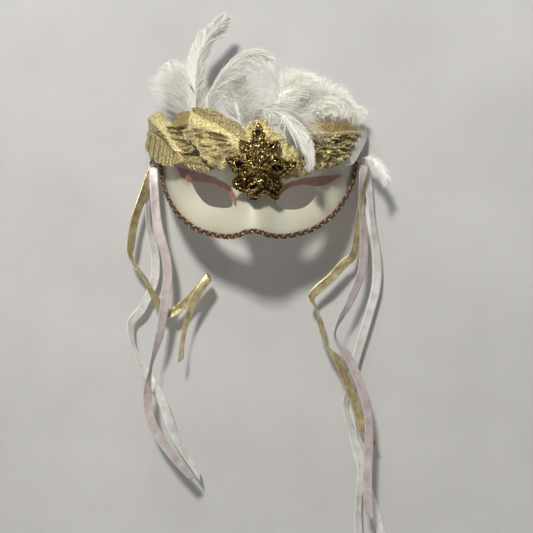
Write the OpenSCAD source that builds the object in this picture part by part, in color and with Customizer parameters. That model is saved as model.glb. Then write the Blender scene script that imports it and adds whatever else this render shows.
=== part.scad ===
// Half mask for a masquerade: a moulded shell with a gimp edge, gold leaves and a glitter leaf on
// the brow, white plumes behind them, and ribbons tied at both temples.
// The front faces -Y and up is +Z. The origin is the top edge of the shell, at its centre.

/* [Shell] */
// Wall thickness of the shell
shell_t = 2; // [1.5:0.1:2.5]
// Distance from the shell's top edge back to the wall or face plane
wall_y = 45; // [45:1:55]
// Half width at which the wrap of the shell would turn straight back
wrap_half_w = 82; // [82:1:90]
// Depth of the wrap before its back is trimmed off
wrap_depth = 79; // [70:1:79]
// Part of the wrap's depth that is trimmed off
wrap_trim = 26; // [20:1:26]
// Power of the wrap: 2 is an ellipse, and more is squarer
wrap_power = 2.3; // [2.1:0.1:2.6]
// How far the bridge of the nose stands out at the lower edge
nose_rise = 15; // [8:1:16]
// How deep the eye sockets sink
socket_depth = 7; // [3:1:8]

/* [Edge braid] */
// Diameter of the gimp braid
braid_d = 4.2; // [3:0.1:4.2]
// Distance of the braid's line in from the shell's edge
braid_inset = 1.6; // [1:0.1:2.5]

/* [Leaves] */
// Thickness of a gold leaf
leaf_t = 0.8; // [0.5:0.1:0.8]
// How much farther a leaf stands off the shell for each millimetre down
leaf_droop = 0.16; // [0:0.02:0.18]
// Thickness of the glitter leaf
glitter_t = 1.6; // [1:0.1:1.8]

/* [Ribbons] */
// Width of each ribbon
ribbon_w = 7; // [4:0.5:7]
// Thickness given to each ribbon's solid
ribbon_t = 1; // [0.6:0.1:1]
// Radius of the knot at each temple
knot_r = 2.4; // [1.5:0.1:2.4]

/* [Plumes] */
// Thickness of a flat plume
plume_t = 3; // [1.5:0.5:3]
// Thickness of a fluffy plume
fluff_t = 12; // [6:1:12]

/* [Hidden] */

cream = "ivory";
gold = "goldenrod";
feather_white = "whitesmoke";

// ---- Surface of the shell: depth in front of the wall plane at x, z ----

curve_z = -42;     // height at which the shell stands out farthest
curve_r = 300;     // upright curvature of the shell
nose_top_z = -38;  // where the bridge of the nose begins
nose_len = 42;     // length over which it rises
socket_at = [34, -50];
socket_size = [20, 12];
brow_at = [30, -30];
brow_size = [25, 9];
brow_rise = 3;

function bump(x, z, at, size) =
    exp(-pow((abs(x) - at[0]) / size[0], 2) - pow((z - at[1]) / size[1], 2));
function wrap(x) =
    wrap_depth * pow(max(0, 1 - pow(abs(x) / wrap_half_w, wrap_power)), 1 / wrap_power) - wrap_trim;
function upright(x, z) = pow(z - curve_z, 2) / curve_r * (1 - pow(x / wrap_half_w, 2));
function nose_t(z) = min(1, max(0, (nose_top_z - z) / nose_len));
function nose(x, z) = nose_rise * nose_t(z) * exp(-pow(x / (11 + 3 * nose_t(z)), 2));
function depth(x, z) = wrap(x) - upright(x, z) + nose(x, z)
    - socket_depth * bump(x, z, socket_at, socket_size) + brow_rise * bump(x, z, brow_at, brow_size);
function front(x, z) = [x, wall_y - depth(x, z), z];
function unit(v) = v / norm(v);
function outward(x, z) =
    unit(cross(front(x + 0.5, z) - front(x - 0.5, z), front(x, z + 0.5) - front(x, z - 0.5)));
// A point that stands lift millimetres out from the shell's front
function skin(x, z, lift) = front(x, z) + lift * outward(x, z);

// ---- Smooth curves through hand-placed points ----

function spline_at(p, i, f) = let (
    n = len(p),
    a = p[max(0, i - 1)], b = p[i], c = p[min(n - 1, i + 1)], d = p[min(n - 1, i + 2)]
) 0.5 * (2 * b + (c - a) * f + (2 * a - 5 * b + 4 * c - d) * f * f
    + (3 * b - a - 3 * c + d) * f * f * f);
function smooth(p, k) = [
    for (i = [0 : len(p) - 2]) for (j = [0 : k - 1]) spline_at(p, i, j / k),
    p[len(p) - 1]
];
function ring_at(p, i, f) = let (
    n = len(p),
    a = p[(i + n - 1) % n], b = p[i], c = p[(i + 1) % n], d = p[(i + 2) % n]
) 0.5 * (2 * b + (c - a) * f + (2 * a - 5 * b + 4 * c - d) * f * f
    + (3 * b - a - 3 * c + d) * f * f * f);
function smooth_ring(p, k) = [for (i = [0 : len(p) - 1]) for (j = [0 : k - 1]) ring_at(p, i, j / k)];
function mean(p, i = 0) = i == len(p) ? [0, 0] : p[i] / len(p) + mean(p, i + 1);

// Two triangles that fill the four-cornered face a, b, c, d
function quad(a, b, c, d) = [[a, b, c], [a, c, d]];

// ---- The shell: rings that run from each eye hole out to the edge of its half ----

// Right half of the shell's edge from the bottom centre round the temple to the top centre
edge_half = [
    [0, -80.3], [10, -82.3], [20, -82.8], [30, -81.4], [41, -78.2], [50, -73], [58.5, -65.5],
    [65, -56.5], [70.5, -46], [74.5, -34], [76.5, -22], [76.5, -9], [73.5, 0], [65, 4],
    [52, 4.5], [36, 3], [18, 1], [0, 0]
];
centre_rows = 12;  // steps down the centre line
eye_centre = [32, -51];
// Edges of the eye holes, the inner corner first, as seen on the right half; they are cut by hand
eye_right = [
    [17, -58], [17.5, -52], [21.5, -48.8], [27, -45.4], [34, -43.6], [41, -43.8], [47, -46.2],
    [46.5, -49.5], [43, -54.5], [38, -59], [31, -61.4], [22, -61.2]
];
eye_left = [
    [16.5, -58], [18.5, -52.5], [23, -46.8], [30, -43], [37, -41.6], [43, -40.6], [48.5, -39.8],
    [47, -44.5], [43, -50.8], [37.5, -56.2], [30.5, -59.2], [20, -60.4]
];
edge_steps = 2;
ring_steps = 7;

// Distance from c to the closed line p in direction a
function reach(p, c, a) = let (u = [cos(a), sin(a)], n = len(p)) max([
    for (i = [0 : n - 1]) let (
        s = p[i] - c, e = p[(i + 1) % n] - p[i],
        det = e[0] * u[1] - e[1] * u[0],
        t = abs(det) < 1e-9 ? -1 : (e[0] * s[1] - e[1] * s[0]) / det,
        w = abs(det) < 1e-9 ? -1 : (u[0] * s[1] - u[1] * s[0]) / det
    ) (w >= -1e-6 && w <= 1 + 1e-6) ? t : 0
]);
half_edge = concat(
    smooth(edge_half, edge_steps),
    [for (i = [1 : centre_rows - 1]) [0, edge_half[0][1] * i / centre_rows]]
);
n_edge = len(half_edge);
n_outer = n_edge - centre_rows + 1;  // the last n_outer - 1 .. n_edge points lie on x = 0
function eye_point(eye, i) = let (
    v = half_edge[i] - eye_centre,
    a = atan2(v[1], v[0])
) eye_centre + reach(eye, eye_centre, a) * [cos(a), sin(a)];
function ring_point(eye, r, i) =
    let (s = 1 - pow(1 - r / ring_steps, 1.35)) eye_point(eye, i) * (1 - s) + half_edge[i] * s;
function half_points(eye, side, lift) = [
    for (r = [0 : ring_steps]) for (i = [0 : n_edge - 1])
        let (p = ring_point(eye, r, i)) skin(side * p[0], p[1], lift)
];
per_half = n_edge * (ring_steps + 1);
function on_centre(i) = i == 0 || i >= n_outer - 1;
// Number of a vertex: layer 0 is the front and 1 the back, half 0 the right and 1 the left
function shell_id(layer, half, r, i) = let (
    k = (i + n_edge) % n_edge,
    h = (r == ring_steps && on_centre(k)) ? 0 : half
) (layer * 2 + h) * per_half + r * n_edge + k;
function turned(tri, flip) = flip ? [tri[0], tri[2], tri[1]] : tri;

module mask_shell() {
    right = smooth_ring(eye_right, 2);
    left = smooth_ring(eye_left, 2);
    points = concat(
        half_points(right, 1, 0), half_points(left, -1, 0),
        half_points(right, 1, -shell_t), half_points(left, -1, -shell_t)
    );
    faces = [
        for (half = [0, 1]) for (i = [0 : n_edge - 1]) each concat(
            [for (layer = [0, 1]) for (r = [0 : ring_steps - 1]) each [
                for (t = quad(shell_id(layer, half, r, i), shell_id(layer, half, r, i + 1),
                    shell_id(layer, half, r + 1, i + 1), shell_id(layer, half, r + 1, i)))
                    turned(t, (half + layer) % 2 == 1)
            ]],
            [for (t = quad(shell_id(0, half, 0, i), shell_id(0, half, 0, i + 1),
                shell_id(1, half, 0, i + 1), shell_id(1, half, 0, i))) turned(t, half == 0)],
            i >= n_outer - 1 ? [] : [
                for (t = quad(shell_id(0, half, ring_steps, i), shell_id(0, half, ring_steps, i + 1),
                    shell_id(1, half, ring_steps, i + 1), shell_id(1, half, ring_steps, i)))
                    turned(t, half == 1)
            ]
        )
    ];
    color(cream) polyhedron(points, faces, convexity = 8);
}

// ---- Sweeps: each point of a route is [x, y, z, turn, half width, half thickness] ----

// Width direction of a flat section: square to the route t, turned from facing the front
function across(t, turn) = let (w = unit(cross(t, [0, 1, 0]))) w * cos(turn) + cross(w, t) * sin(turn);
function place(q) = [q[0], q[1], q[2]];
function along(route, i) =
    unit(place(route[min(len(route) - 1, i + 1)]) - place(route[max(0, i - 1)]));
module sweep(route, sides) {
    n = len(route);
    points = [
        for (i = [0 : n - 1]) let (
            t = along(route, i), w = across(t, route[i][3]), m = cross(w, t)
        ) for (j = [0 : sides - 1])
            place(route[i]) + w * route[i][4] * cos(360 * j / sides) + m * route[i][5] * sin(360 * j / sides)
    ];
    function id(i, j) = i * sides + j % sides;
    // the two flat faces are split along the same diagonal, so that a twist keeps them apart
    faces = concat(
        [for (i = [0 : n - 2]) for (j = [0 : sides - 1]) each (j < sides / 2
            ? quad(id(i, j), id(i, j + 1), id(i + 1, j + 1), id(i + 1, j))
            : quad(id(i, j + 1), id(i + 1, j + 1), id(i + 1, j), id(i, j)))],
        [for (j = [1 : sides - 2]) [0, j + 1, j]],
        [for (j = [1 : sides - 2]) [(n - 1) * sides, (n - 1) * sides + j, (n - 1) * sides + j + 1]]
    );
    polyhedron(points, faces, convexity = 10);
}

// ---- Braid along the shell's edge, from one temple round the chin line to the other ----

braid_ends = 10;  // the braid stops at this point of edge_half
braid_half = [
    for (i = [0 : braid_ends]) let (p = edge_half[i], v = unit(eye_centre - p))
        i == 0 ? [0, p[1] + braid_inset] : p + v * braid_inset
];
braid_line = concat([for (i = [braid_ends : -1 : 1]) [-braid_half[i][0], braid_half[i][1]]], braid_half);

module edge_braid() {
    gap = 0.3;
    route = [
        for (p = smooth(braid_line, 3)) let (q = skin(p[0], p[1], braid_d / 2 + gap))
            [q[0], q[1], q[2], 0, braid_d / 2, braid_d / 2]
    ];
    color("darkgoldenrod") sweep(route, 8);
}

// ---- Leaves: a plate on the shell, given by its outline and its lift off the shell. Towards the
// temples a leaf may flare off the shell, by flare millimetres at half width flare_to. Low down it
// may tuck back to the shell, by tuck millimetres. ----

leaf_rings = 3;
rim_steps = 2;
droop_top = 10;  // the droop starts at this height
droop_len = 36;  // and grows over this much
flare_from = 64;
flare_to = 81;
tuck_top = -38;  // a tucked leaf starts to fall back at this height
tuck_len = 20;   // and is all the way back this much lower
function leaf_lift(z) = leaf_droop * min(droop_len, max(0, droop_top - z));
function leaf_flare(x) = pow(max(0, (abs(x) - flare_from) / (flare_to - flare_from)), 2);
function leaf_tuck(z) = min(1, max(0, (tuck_top - z) / tuck_len));
module plate(outline, lift, t, flare = 0, tuck = 0) {
    rim = smooth_ring(outline, rim_steps);
    n = len(rim);
    c = mean(outline);
    function at(r, i, extra) = let (
        p = c + (rim[i] - c) * r / leaf_rings,
        off = lift + leaf_lift(p[1]) + flare * leaf_flare(p[0]) - tuck * leaf_tuck(p[1])
    ) skin(p[0], p[1], off + extra);
    points = concat(
        [at(0, 0, t)], [for (r = [1 : leaf_rings]) for (i = [0 : n - 1]) at(r, i, t)],
        [at(0, 0, 0)], [for (r = [1 : leaf_rings]) for (i = [0 : n - 1]) at(r, i, 0)]
    );
    back = 1 + leaf_rings * n;
    function id(layer, r, i) = layer * back + 1 + (r - 1) * n + i % n;
    faces = concat(
        [for (i = [0 : n - 1]) [0, id(0, 1, i), id(0, 1, i + 1)]],
        [for (i = [0 : n - 1]) [back, id(1, 1, i + 1), id(1, 1, i)]],
        [for (r = [1 : leaf_rings - 1]) for (i = [0 : n - 1]) each concat(
            quad(id(0, r, i), id(0, r + 1, i), id(0, r + 1, i + 1), id(0, r, i + 1)),
            quad(id(1, r, i), id(1, r, i + 1), id(1, r + 1, i + 1), id(1, r + 1, i))
        )],
        [for (i = [0 : n - 1]) each quad(
            id(0, leaf_rings, i), id(1, leaf_rings, i), id(1, leaf_rings, i + 1), id(0, leaf_rings, i + 1)
        )]
    );
    polyhedron(points, faces, convexity = 6);
}

low_lift = 1.4;      // leaves that lie under others
high_lift = 3.6;     // leaves that lie over them
glitter_lift = 7.2;
glitter_tuck = 5;

module leaf_far_left() {
    color(gold) plate([
        [-77.5, -10], [-78.5, -1], [-78.5, 9], [-78, 16], [-76, 19.5], [-73, 17.5], [-69, 11],
        [-61, 3], [-55, -7], [-51, -15], [-46.5, -24], [-48, -27.5], [-53, -29], [-60, -29],
        [-68, -25], [-74, -18]
    ], high_lift, leaf_t, 8);
}
module leaf_curled_left() {
    color(gold) plate([
        [-66, 3], [-63, 9], [-60, 13], [-54, 14.5], [-47, 12], [-42, -1], [-40, -16], [-43, -21],
        [-50, -21], [-58, -15]
    ], low_lift, leaf_t);
}
module leaf_brow_left() {
    color("gold") plate([
        [-47, 16], [-41, 15], [-33, 13], [-27, 11], [-22, 7], [-13, 1], [-8, -3], [-5, -10],
        [-7, -21], [-11, -28], [-18, -32], [-26, -31], [-34, -27], [-39, -19], [-45, -10], [-47, -1],
        [-48, 9]
    ], high_lift, leaf_t);
}
module leaf_lower_left() {
    color(gold) plate([
        [-52, -25], [-45, -23.5], [-37, -25.5], [-30, -28.5], [-26, -31], [-31, -32.5], [-38, -32],
        [-46, -30]
    ], low_lift, leaf_t);
}
module leaf_centre() {
    color("palegoldenrod") plate([
        [-12, -7], [-8, -3], [-2, 3], [2, 4], [9, 3], [13, -4], [19, -8], [24, -14], [32, -23],
        [37, -30], [39, -33], [35, -35], [28, -36], [18, -38], [6, -38], [-6, -28], [-11, -17]
    ], low_lift, leaf_t);
}
module leaf_right() {
    color(gold) plate([
        [34, -32], [31, -27], [32, -13], [34, 0], [41, 3], [50, 4], [59, 5], [67, 7.5], [72, 8],
        [74, 1], [71, -8], [64, -21], [58, -28], [50, -31], [41, -32]
    ], high_lift, leaf_t, 2);
}
module leaf_cream_right() {
    color(cream) plate([
        [71, -2], [74, 2], [77, 4], [78.5, 2], [78, -3], [75.5, -10], [69, -24], [65, -28],
        [60, -28.5], [62, -21], [67, -12]
    ], low_lift, leaf_t, 6);
}
module glitter_leaf() {
    color("darkgoldenrod") plate([
        [-1, -13], [1, -6], [4, -1], [7, -7], [9, -14], [12, -18], [17, -15], [19, -22], [17, -27],
        [21, -29], [29, -29.5], [24, -33], [19, -35], [19, -41], [15, -53], [12, -58], [8, -56],
        [5, -54], [1, -59], [-1, -58], [-3, -54], [-6, -52], [-10, -47], [-12, -40], [-7, -38],
        [-14, -32], [-19, -28], [-13, -27.5], [-9, -27], [-10, -21], [-9, -14], [-4, -16]
    ], glitter_lift, glitter_t, tuck = glitter_tuck);
}

// ---- Pad of glue inside the top of the shell that holds the quills ----

module quill_pad() {
    pad_t = 1.6;
    gap = 0.2;
    outline = [
        [-54, -2], [-46, 1], [-20, -2], [8, -4], [24, -3], [26, -9], [8, -12], [-22, -11], [-48, -9]
    ];
    color("tan") plate_inside(outline, gap, pad_t);
}
module plate_inside(outline, gap, t) {
    rim = smooth_ring(outline, rim_steps);
    n = len(rim);
    c = mean(outline);
    function at(r, i, in) = let (p = c + (rim[i] - c) * r / 2) skin(p[0], p[1], -shell_t - in);
    points = concat(
        [at(0, 0, gap)], [for (r = [1, 2]) for (i = [0 : n - 1]) at(r, i, gap)],
        [at(0, 0, gap + t)], [for (r = [1, 2]) for (i = [0 : n - 1]) at(r, i, gap + t)]
    );
    back = 1 + 2 * n;
    function id(layer, r, i) = layer * back + 1 + (r - 1) * n + i % n;
    faces = concat(
        [for (i = [0 : n - 1]) [0, id(0, 1, i), id(0, 1, i + 1)]],
        [for (i = [0 : n - 1]) [back, id(1, 1, i + 1), id(1, 1, i)]],
        [for (i = [0 : n - 1]) each concat(
            quad(id(0, 1, i), id(0, 2, i), id(0, 2, i + 1), id(0, 1, i + 1)),
            quad(id(1, 1, i), id(1, 1, i + 1), id(1, 2, i + 1), id(1, 2, i)),
            quad(id(0, 2, i), id(1, 2, i), id(1, 2, i + 1), id(0, 2, i + 1))
        )]
    );
    polyhedron(points, faces, convexity = 6);
}

// ---- Plumes: flat sweeps that stand behind the leaves, [x, y, z, half width] along each quill ----

module plume(quill, t) {
    route = [
        for (q = smooth(quill, 2)) [q[0], q[1], q[2], 0, q[3], min(t / 2, 0.6 + q[3] * 0.5)]
    ];
    color(feather_white) sweep(route, 8);
}

module plume_tall() {
    plume([
        [-46, 13.5, 3, 0.8], [-45.5, 14, 22, 4], [-45, 14.5, 40, 7], [-43, 15.5, 54, 9],
        [-38, 17, 69, 8], [-31, 18.5, 81, 6.5], [-25, 20, 90, 2]
    ], plume_t);
}
module plume_round() {
    plume([
        [-51, 22, 3, 0.8], [-55, 23, 20, 5], [-62, 24, 34, 11], [-69, 25, 46, 13], [-75, 26, 57, 5]
    ], plume_t + 2);
}
module plume_fan() {
    plume([
        [-49, 18, 3, 0.8], [-50, 18.5, 18, 9], [-52, 19, 34, 20], [-54, 19.5, 48, 20], [-55, 20, 58, 8]
    ], plume_t - 1);
}
module plume_arch() {
    plume([
        [-36, 8.5, 0, 0.8], [-34, 7, 18, 5], [-28, 5, 33, 8], [-19, 4, 43, 9.5], [-7, 3, 48, 9.5],
        [4, 2, 48, 8], [12, 1, 44, 4]
    ], plume_t);
}
module plume_tuft() {
    plume([[-10, 11, 1, 0.8], [-14, 11, 14, 8], [-15, 12, 26, 12], [-10, 12, 34, 6]], plume_t + 2);
}
module marabou_inner() {
    plume([
        [8, 17, 2, 0.8], [14, 17, 12, 7], [22, 17, 24, 14], [32, 17, 32, 12], [40, 17, 38, 5]
    ], fluff_t);
}
module marabou_outer() {
    plume([
        [26, 31, 2, 0.8], [38, 31, 16, 8], [52, 31, 22, 14], [66, 31, 22, 14], [80, 31, 16, 6]
    ], fluff_t);
}
module plume_front() {
    plume([
        [-4, 4, 5, 0.8], [2, -1, 12, 4], [13, -9, 13, 6], [24, -18, 6, 8], [32, -23, -6, 9],
        [36, -24, -20, 9], [36, -21, -32, 4]
    ], 2);
}
module feather_side() {
    plume([[83.5, 29.5, -19, 0.8], [87, 25, -22, 4], [93, 20, -28, 6], [99, 17.5, -36, 2]], 1.6);
}

// ---- Knots and ribbons: three ribbons leave each knot one in front of another ----

knot_at = [83.2, 35, -22];
knot_l = 7.4;    // length of the knot from the front ribbon to the back one
throat_l = 6;    // length of the loop's throat, which points at the shell
throat_r = 1.1;
module knot(side) {
    color("mistyrose") translate([side * knot_at[0], knot_at[1], knot_at[2]]) rotate([90, 0, 0]) {
        cylinder(h = knot_l, r = knot_r * 0.8, center = true, $fn = 32);
        rotate([0, 90, 0]) cylinder(h = throat_l, r = throat_r, center = true, $fn = 32);
        rotate_extrude($fn = 32) translate([knot_r * 0.6, 0]) circle(r = knot_r * 0.4, $fn = 24);
    }
}
module knot_left() {
    knot(-1);
}
module knot_right() {
    knot(1);
}

module ribbon(points, tint) {
    route = [for (p = points) [p[0], p[1], p[2], p[3], ribbon_w / 2, ribbon_t / 2]];
    color(tint) sweep(route, 8);
}

gold_left = [
    [-84, 35, -25, 0], [-90, 34, -44, 30], [-97, 31, -66, 40], [-100.5, 31, -86, 40],
    [-100, 31, -98, 75], [-89, 31, -114, 75], [-80.5, 31, -130, 50], [-70, 32, -141, 10],
    [-56, 33, -131, 0], [-41, 33, -115, 0], [-38, 30.5, -112, 0], [-40, 28, -114.5, 180],
    [-49, 27, -129, 200], [-55.5, 28, -147, 240], [-59, 29, -163, 250], [-60.5, 29, -178, 240]
];
pink_left = [
    [-83, 32.5, -25, 0], [-81, 27, -44, 20], [-78, 24, -70, 10],
    [-70, 24, -104, 10], [-72, 24, -130, 10], [-76, 24, -156, 30], [-83, 24, -182, 80],
    [-86, 24, -205, 30], [-82, 24, -227, 10], [-68, 24, -249, 40], [-50, 24, -269, 65]
];
white_left = [
    [-83.5, 37.5, -25, 0], [-88, 38, -46, 50], [-88, 38, -70, 70], [-83, 38, -92, 30],
    [-83, 38, -114, 20], [-93, 38, -137, 0], [-102, 38, -150, 40], [-99, 38, -170, 75],
    [-89, 38, -190, 30], [-78, 38, -209, 10], [-66, 38, -240, 40], [-46, 38, -272, 75]
];
gold_right = [
    [83, 35, -25, 0], [82, 33, -42, 40], [79, 31, -62, 60],
    [75, 31, -93, 30], [67, 31, -102, 10], [56, 31, -114, 0], [42.5, 31, -127, 30],
    [46, 31, -137, 80], [49.5, 31, -150, 50], [54, 31, -166, 75], [63, 31, -178, 30],
    [70, 31, -195, 20], [76, 31, -211, 10], [82, 31, -228, 10], [90.5, 31, -243, 50]
];
pink_right = [
    [83.5, 32.5, -25, 0], [80, 26, -42, 60], [79, 24, -55, 80], [82, 24, -77, 30],
    [81, 24, -106, 20], [72, 24, -130, 30], [60, 24, -156, 75],
    [70, 24, -173, 20], [79, 24, -194, 10], [86, 24, -222, 20],
    [85, 24, -268, 0], [86, 24, -296, 10]
];
white_right = [
    [84, 37.5, -25, 0], [87, 38, -44, 30], [90, 38, -70, 50], [93, 38, -95, 20],
    [93, 38, -118, 10], [87, 38, -142, 10], [78, 38, -173, 20], [70, 38, -205, 40],
    [69.5, 38, -218, 50], [76, 38, -241, 30], [81.5, 38, -262, 10], [79, 38, -288, 40],
    [78.5, 38, -305, 30], [80, 38, -326, 20]
];
tail_right = [
    [83, 39.8, -25, 0], [86, 42, -48, 0], [90, 42, -75, 0], [93, 42, -98, 0], [92.5, 42, -120, 0],
    [86, 42, -147, 0], [77, 42, -178, 0], [72, 42, -208, 0], [75, 42, -238, 0], [81, 42, -262, 0],
    [87, 42, -281, 0], [93, 42, -301, 10], [99, 42, -322, 20]
];

module ribbon_gold_left() {
    ribbon(gold_left, "gold");
}
module ribbon_pink_left() {
    ribbon(pink_left, "pink");
}
module ribbon_white_left() {
    ribbon(white_left, "white");
}
module ribbon_gold_right() {
    ribbon(gold_right, "gold");
}
module ribbon_pink_right() {
    ribbon(pink_right, "pink");
}
module ribbon_white_right() {
    ribbon(white_right, "white");
}
module ribbon_tail_right() {
    ribbon(tail_right, "white");
}

mask_shell();
edge_braid();
quill_pad();
leaf_far_left();
leaf_curled_left();
leaf_brow_left();
leaf_lower_left();
leaf_centre();
leaf_right();
leaf_cream_right();
glitter_leaf();
plume_tall();
plume_round();
plume_fan();
plume_arch();
plume_tuft();
marabou_inner();
marabou_outer();
plume_front();
feather_side();
knot_left();
ribbon_gold_left();
ribbon_pink_left();
ribbon_white_left();
knot_right();
ribbon_gold_right();
ribbon_pink_right();
ribbon_white_right();
ribbon_tail_right();
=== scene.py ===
"""Looks for a masquerade half mask: a cream shell with a gimp edge, gold leaves and a glitter leaf
on the brow, white plumes behind them, and ribbons tied at both temples.

Shapes are worked out in millimetres, in the CAD model's frame (front to -Y, +Z up), and turned
into metres when a mesh is made.
"""

import math

import bmesh
import bpy
import numpy as np
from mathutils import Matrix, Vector, noise


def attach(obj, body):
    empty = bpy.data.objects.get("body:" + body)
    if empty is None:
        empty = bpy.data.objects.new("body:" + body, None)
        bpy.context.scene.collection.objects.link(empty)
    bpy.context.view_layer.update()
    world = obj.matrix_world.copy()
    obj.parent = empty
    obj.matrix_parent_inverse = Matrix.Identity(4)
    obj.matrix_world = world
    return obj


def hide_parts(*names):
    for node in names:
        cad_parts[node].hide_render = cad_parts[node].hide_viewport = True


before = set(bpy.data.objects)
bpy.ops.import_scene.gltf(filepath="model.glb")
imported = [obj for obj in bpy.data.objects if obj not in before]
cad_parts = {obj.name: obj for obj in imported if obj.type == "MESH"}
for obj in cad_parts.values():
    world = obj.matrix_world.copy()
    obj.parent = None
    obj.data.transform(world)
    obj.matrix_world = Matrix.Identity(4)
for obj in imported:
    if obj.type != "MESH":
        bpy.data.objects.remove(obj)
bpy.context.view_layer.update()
MM = 0.001
MASK = "mask"


# ---------------------------------------------------------------- camera, stage and light

CAMERA_TURN = math.radians(3.5)
CAMERA_DISTANCE = 0.650
CAMERA_TARGET = Vector((0.006, 0.045, -0.104))
CAMERA_LENS = 54.9
WALL_Y, WALL_HALF, WALL_TOP = 0.0465, 0.9, 0.9
FLOOR_Z, FLOOR_HALF = -0.42, 4.0
LAMPS_LOOK_AT = Vector((0, 0, -0.06))
WORLD_COLOUR, WORLD_STRENGTH = (0.85, 0.88, 0.92, 1), 0.07


def make_camera():
    data = bpy.data.cameras.new("camera")
    data.sensor_width = 36
    data.lens = CAMERA_LENS
    camera = bpy.data.objects.new("camera", data)
    bpy.context.scene.collection.objects.link(camera)
    back = Vector((math.sin(CAMERA_TURN), -math.cos(CAMERA_TURN), 0))
    camera.location = CAMERA_TARGET + back * CAMERA_DISTANCE
    camera.rotation_euler = (-back).to_track_quat("-Z", "Y").to_euler()
    bpy.context.scene.camera = camera


def area_light(name, azimuth, elevation, distance, size, power, colour):
    """A square lamp that looks at the mask from azimuth (0 is the front, 90 the right) and elevation."""
    a, e = math.radians(azimuth), math.radians(elevation)
    away = Vector((math.sin(a) * math.cos(e), -math.cos(a) * math.cos(e), math.sin(e)))
    data = bpy.data.lights.new(name, "AREA")
    data.size = size
    data.energy = power
    data.color = colour
    lamp = bpy.data.objects.new(name, data)
    lamp.location = LAMPS_LOOK_AT + away * distance
    lamp.rotation_euler = (-away).to_track_quat("-Z", "Y").to_euler()
    bpy.context.scene.collection.objects.link(lamp)


def stage_plane(name, corners, shader):
    mesh = bpy.data.meshes.new(name)
    mesh.from_pydata(corners, [], [(0, 1, 2, 3)])
    plane = bpy.data.objects.new(name, mesh)
    plane.data.materials.append(shader)
    bpy.context.scene.collection.objects.link(plane)
    return plane


# ---------------------------------------------------------------- curves and grids


def unit(v):
    return v / np.maximum(np.linalg.norm(v, axis=-1, keepdims=True), 1e-9)


def spline(points, steps, closed=False):
    """Catmull-Rom curve through the points, with steps samples to each stretch."""
    p = np.asarray(points, float)
    n = len(p)
    spans = n if closed else n - 1
    t = np.arange(steps) / steps
    rows = []
    for i in range(spans):
        if closed:
            a, b, c, d = p[i - 1], p[i], p[(i + 1) % n], p[(i + 2) % n]
        else:
            a, b, c, d = p[max(0, i - 1)], p[i], p[i + 1], p[min(n - 1, i + 2)]
        f = t[:, None]
        square, cube = 2 * a - 5 * b + 4 * c - d, 3 * b - a - 3 * c + d
        rows.append(0.5 * (2 * b + (c - a) * f + square * f**2 + cube * f**3))
    if not closed:
        rows.append(p[-1:])
    return np.concatenate(rows)


def sample(rows, t):
    """Rows read at places t from 0 to 1, with straight lines between them."""
    at = np.clip(np.asarray(t), 0, 1) * (len(rows) - 1)
    i = np.minimum(at.astype(int), len(rows) - 2)
    f = (at - i)[..., None]
    return rows[i] * (1 - f) + rows[i + 1] * f


def directions(points):
    return unit(np.gradient(points, axis=0))


def even(points, gap):
    """The same curve with points an even gap apart."""
    steps = np.linalg.norm(np.diff(points, axis=0), axis=1)
    far = np.concatenate([[0], np.cumsum(steps)])
    at = np.linspace(0, far[-1], max(2, int(far[-1] / gap)))
    return np.stack([np.interp(at, far, points[:, k]) for k in range(points.shape[1])], -1)


def closed_ring(outline, steps, gap):
    """A closed smooth outline, with points an even gap apart."""
    return even(np.concatenate([spline(outline, steps, closed=True), [outline[0]]]), gap)[:-1]


def shrinking(ring, centre, first, rows):
    """x and z of rows of ever larger copies of ring about centre, and the size of each from first to 1."""
    r = np.linspace(first, 1, rows)[:, None, None]
    flat = centre + (ring - centre)[None] * r
    return flat[..., 0], flat[..., 1], r[..., 0]


def polyline_distance(x, z, path):
    """Distance from each x, z to a path of rows [x, z, width], less the width there."""
    best = np.full(np.shape(x), 1e9)
    for a, b in zip(path[:-1], path[1:]):
        ex, ez = b[0] - a[0], b[1] - a[1]
        t = np.clip(((x - a[0]) * ex + (z - a[1]) * ez) / (ex * ex + ez * ez), 0, 1)
        width = a[2] + (b[2] - a[2]) * t
        best = np.minimum(best, np.hypot(x - a[0] - t * ex, z - a[1] - t * ez) - width)
    return best


def smoothstep(low, high, v):
    t = np.clip((v - low) / (high - low), 0, 1)
    return t * t * (3 - 2 * t)


def noise_at(points, scale, octaves=3):
    """Fractal noise, about -1 to 1, at points in mm; scale is the size of its lumps in mm."""
    return np.array([noise.fractal(Vector(p) / scale, 0.7, 2.0, octaves) for p in points])


def grid_faces(rows, cols, closed=False, flip=False):
    """Quads over rows x cols points; closed joins the last column to the first, flip turns them over."""
    r = np.arange(rows - 1)[:, None] * cols
    c = np.arange(cols if closed else cols - 1)[None, :]
    d = (c + 1) % cols
    quads = np.stack(np.broadcast_arrays(r + c, r + d, r + cols + d, r + cols + c), -1).reshape(-1, 4)
    if flip:
        quads = quads[:, ::-1]
    return quads.tolist()


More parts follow.
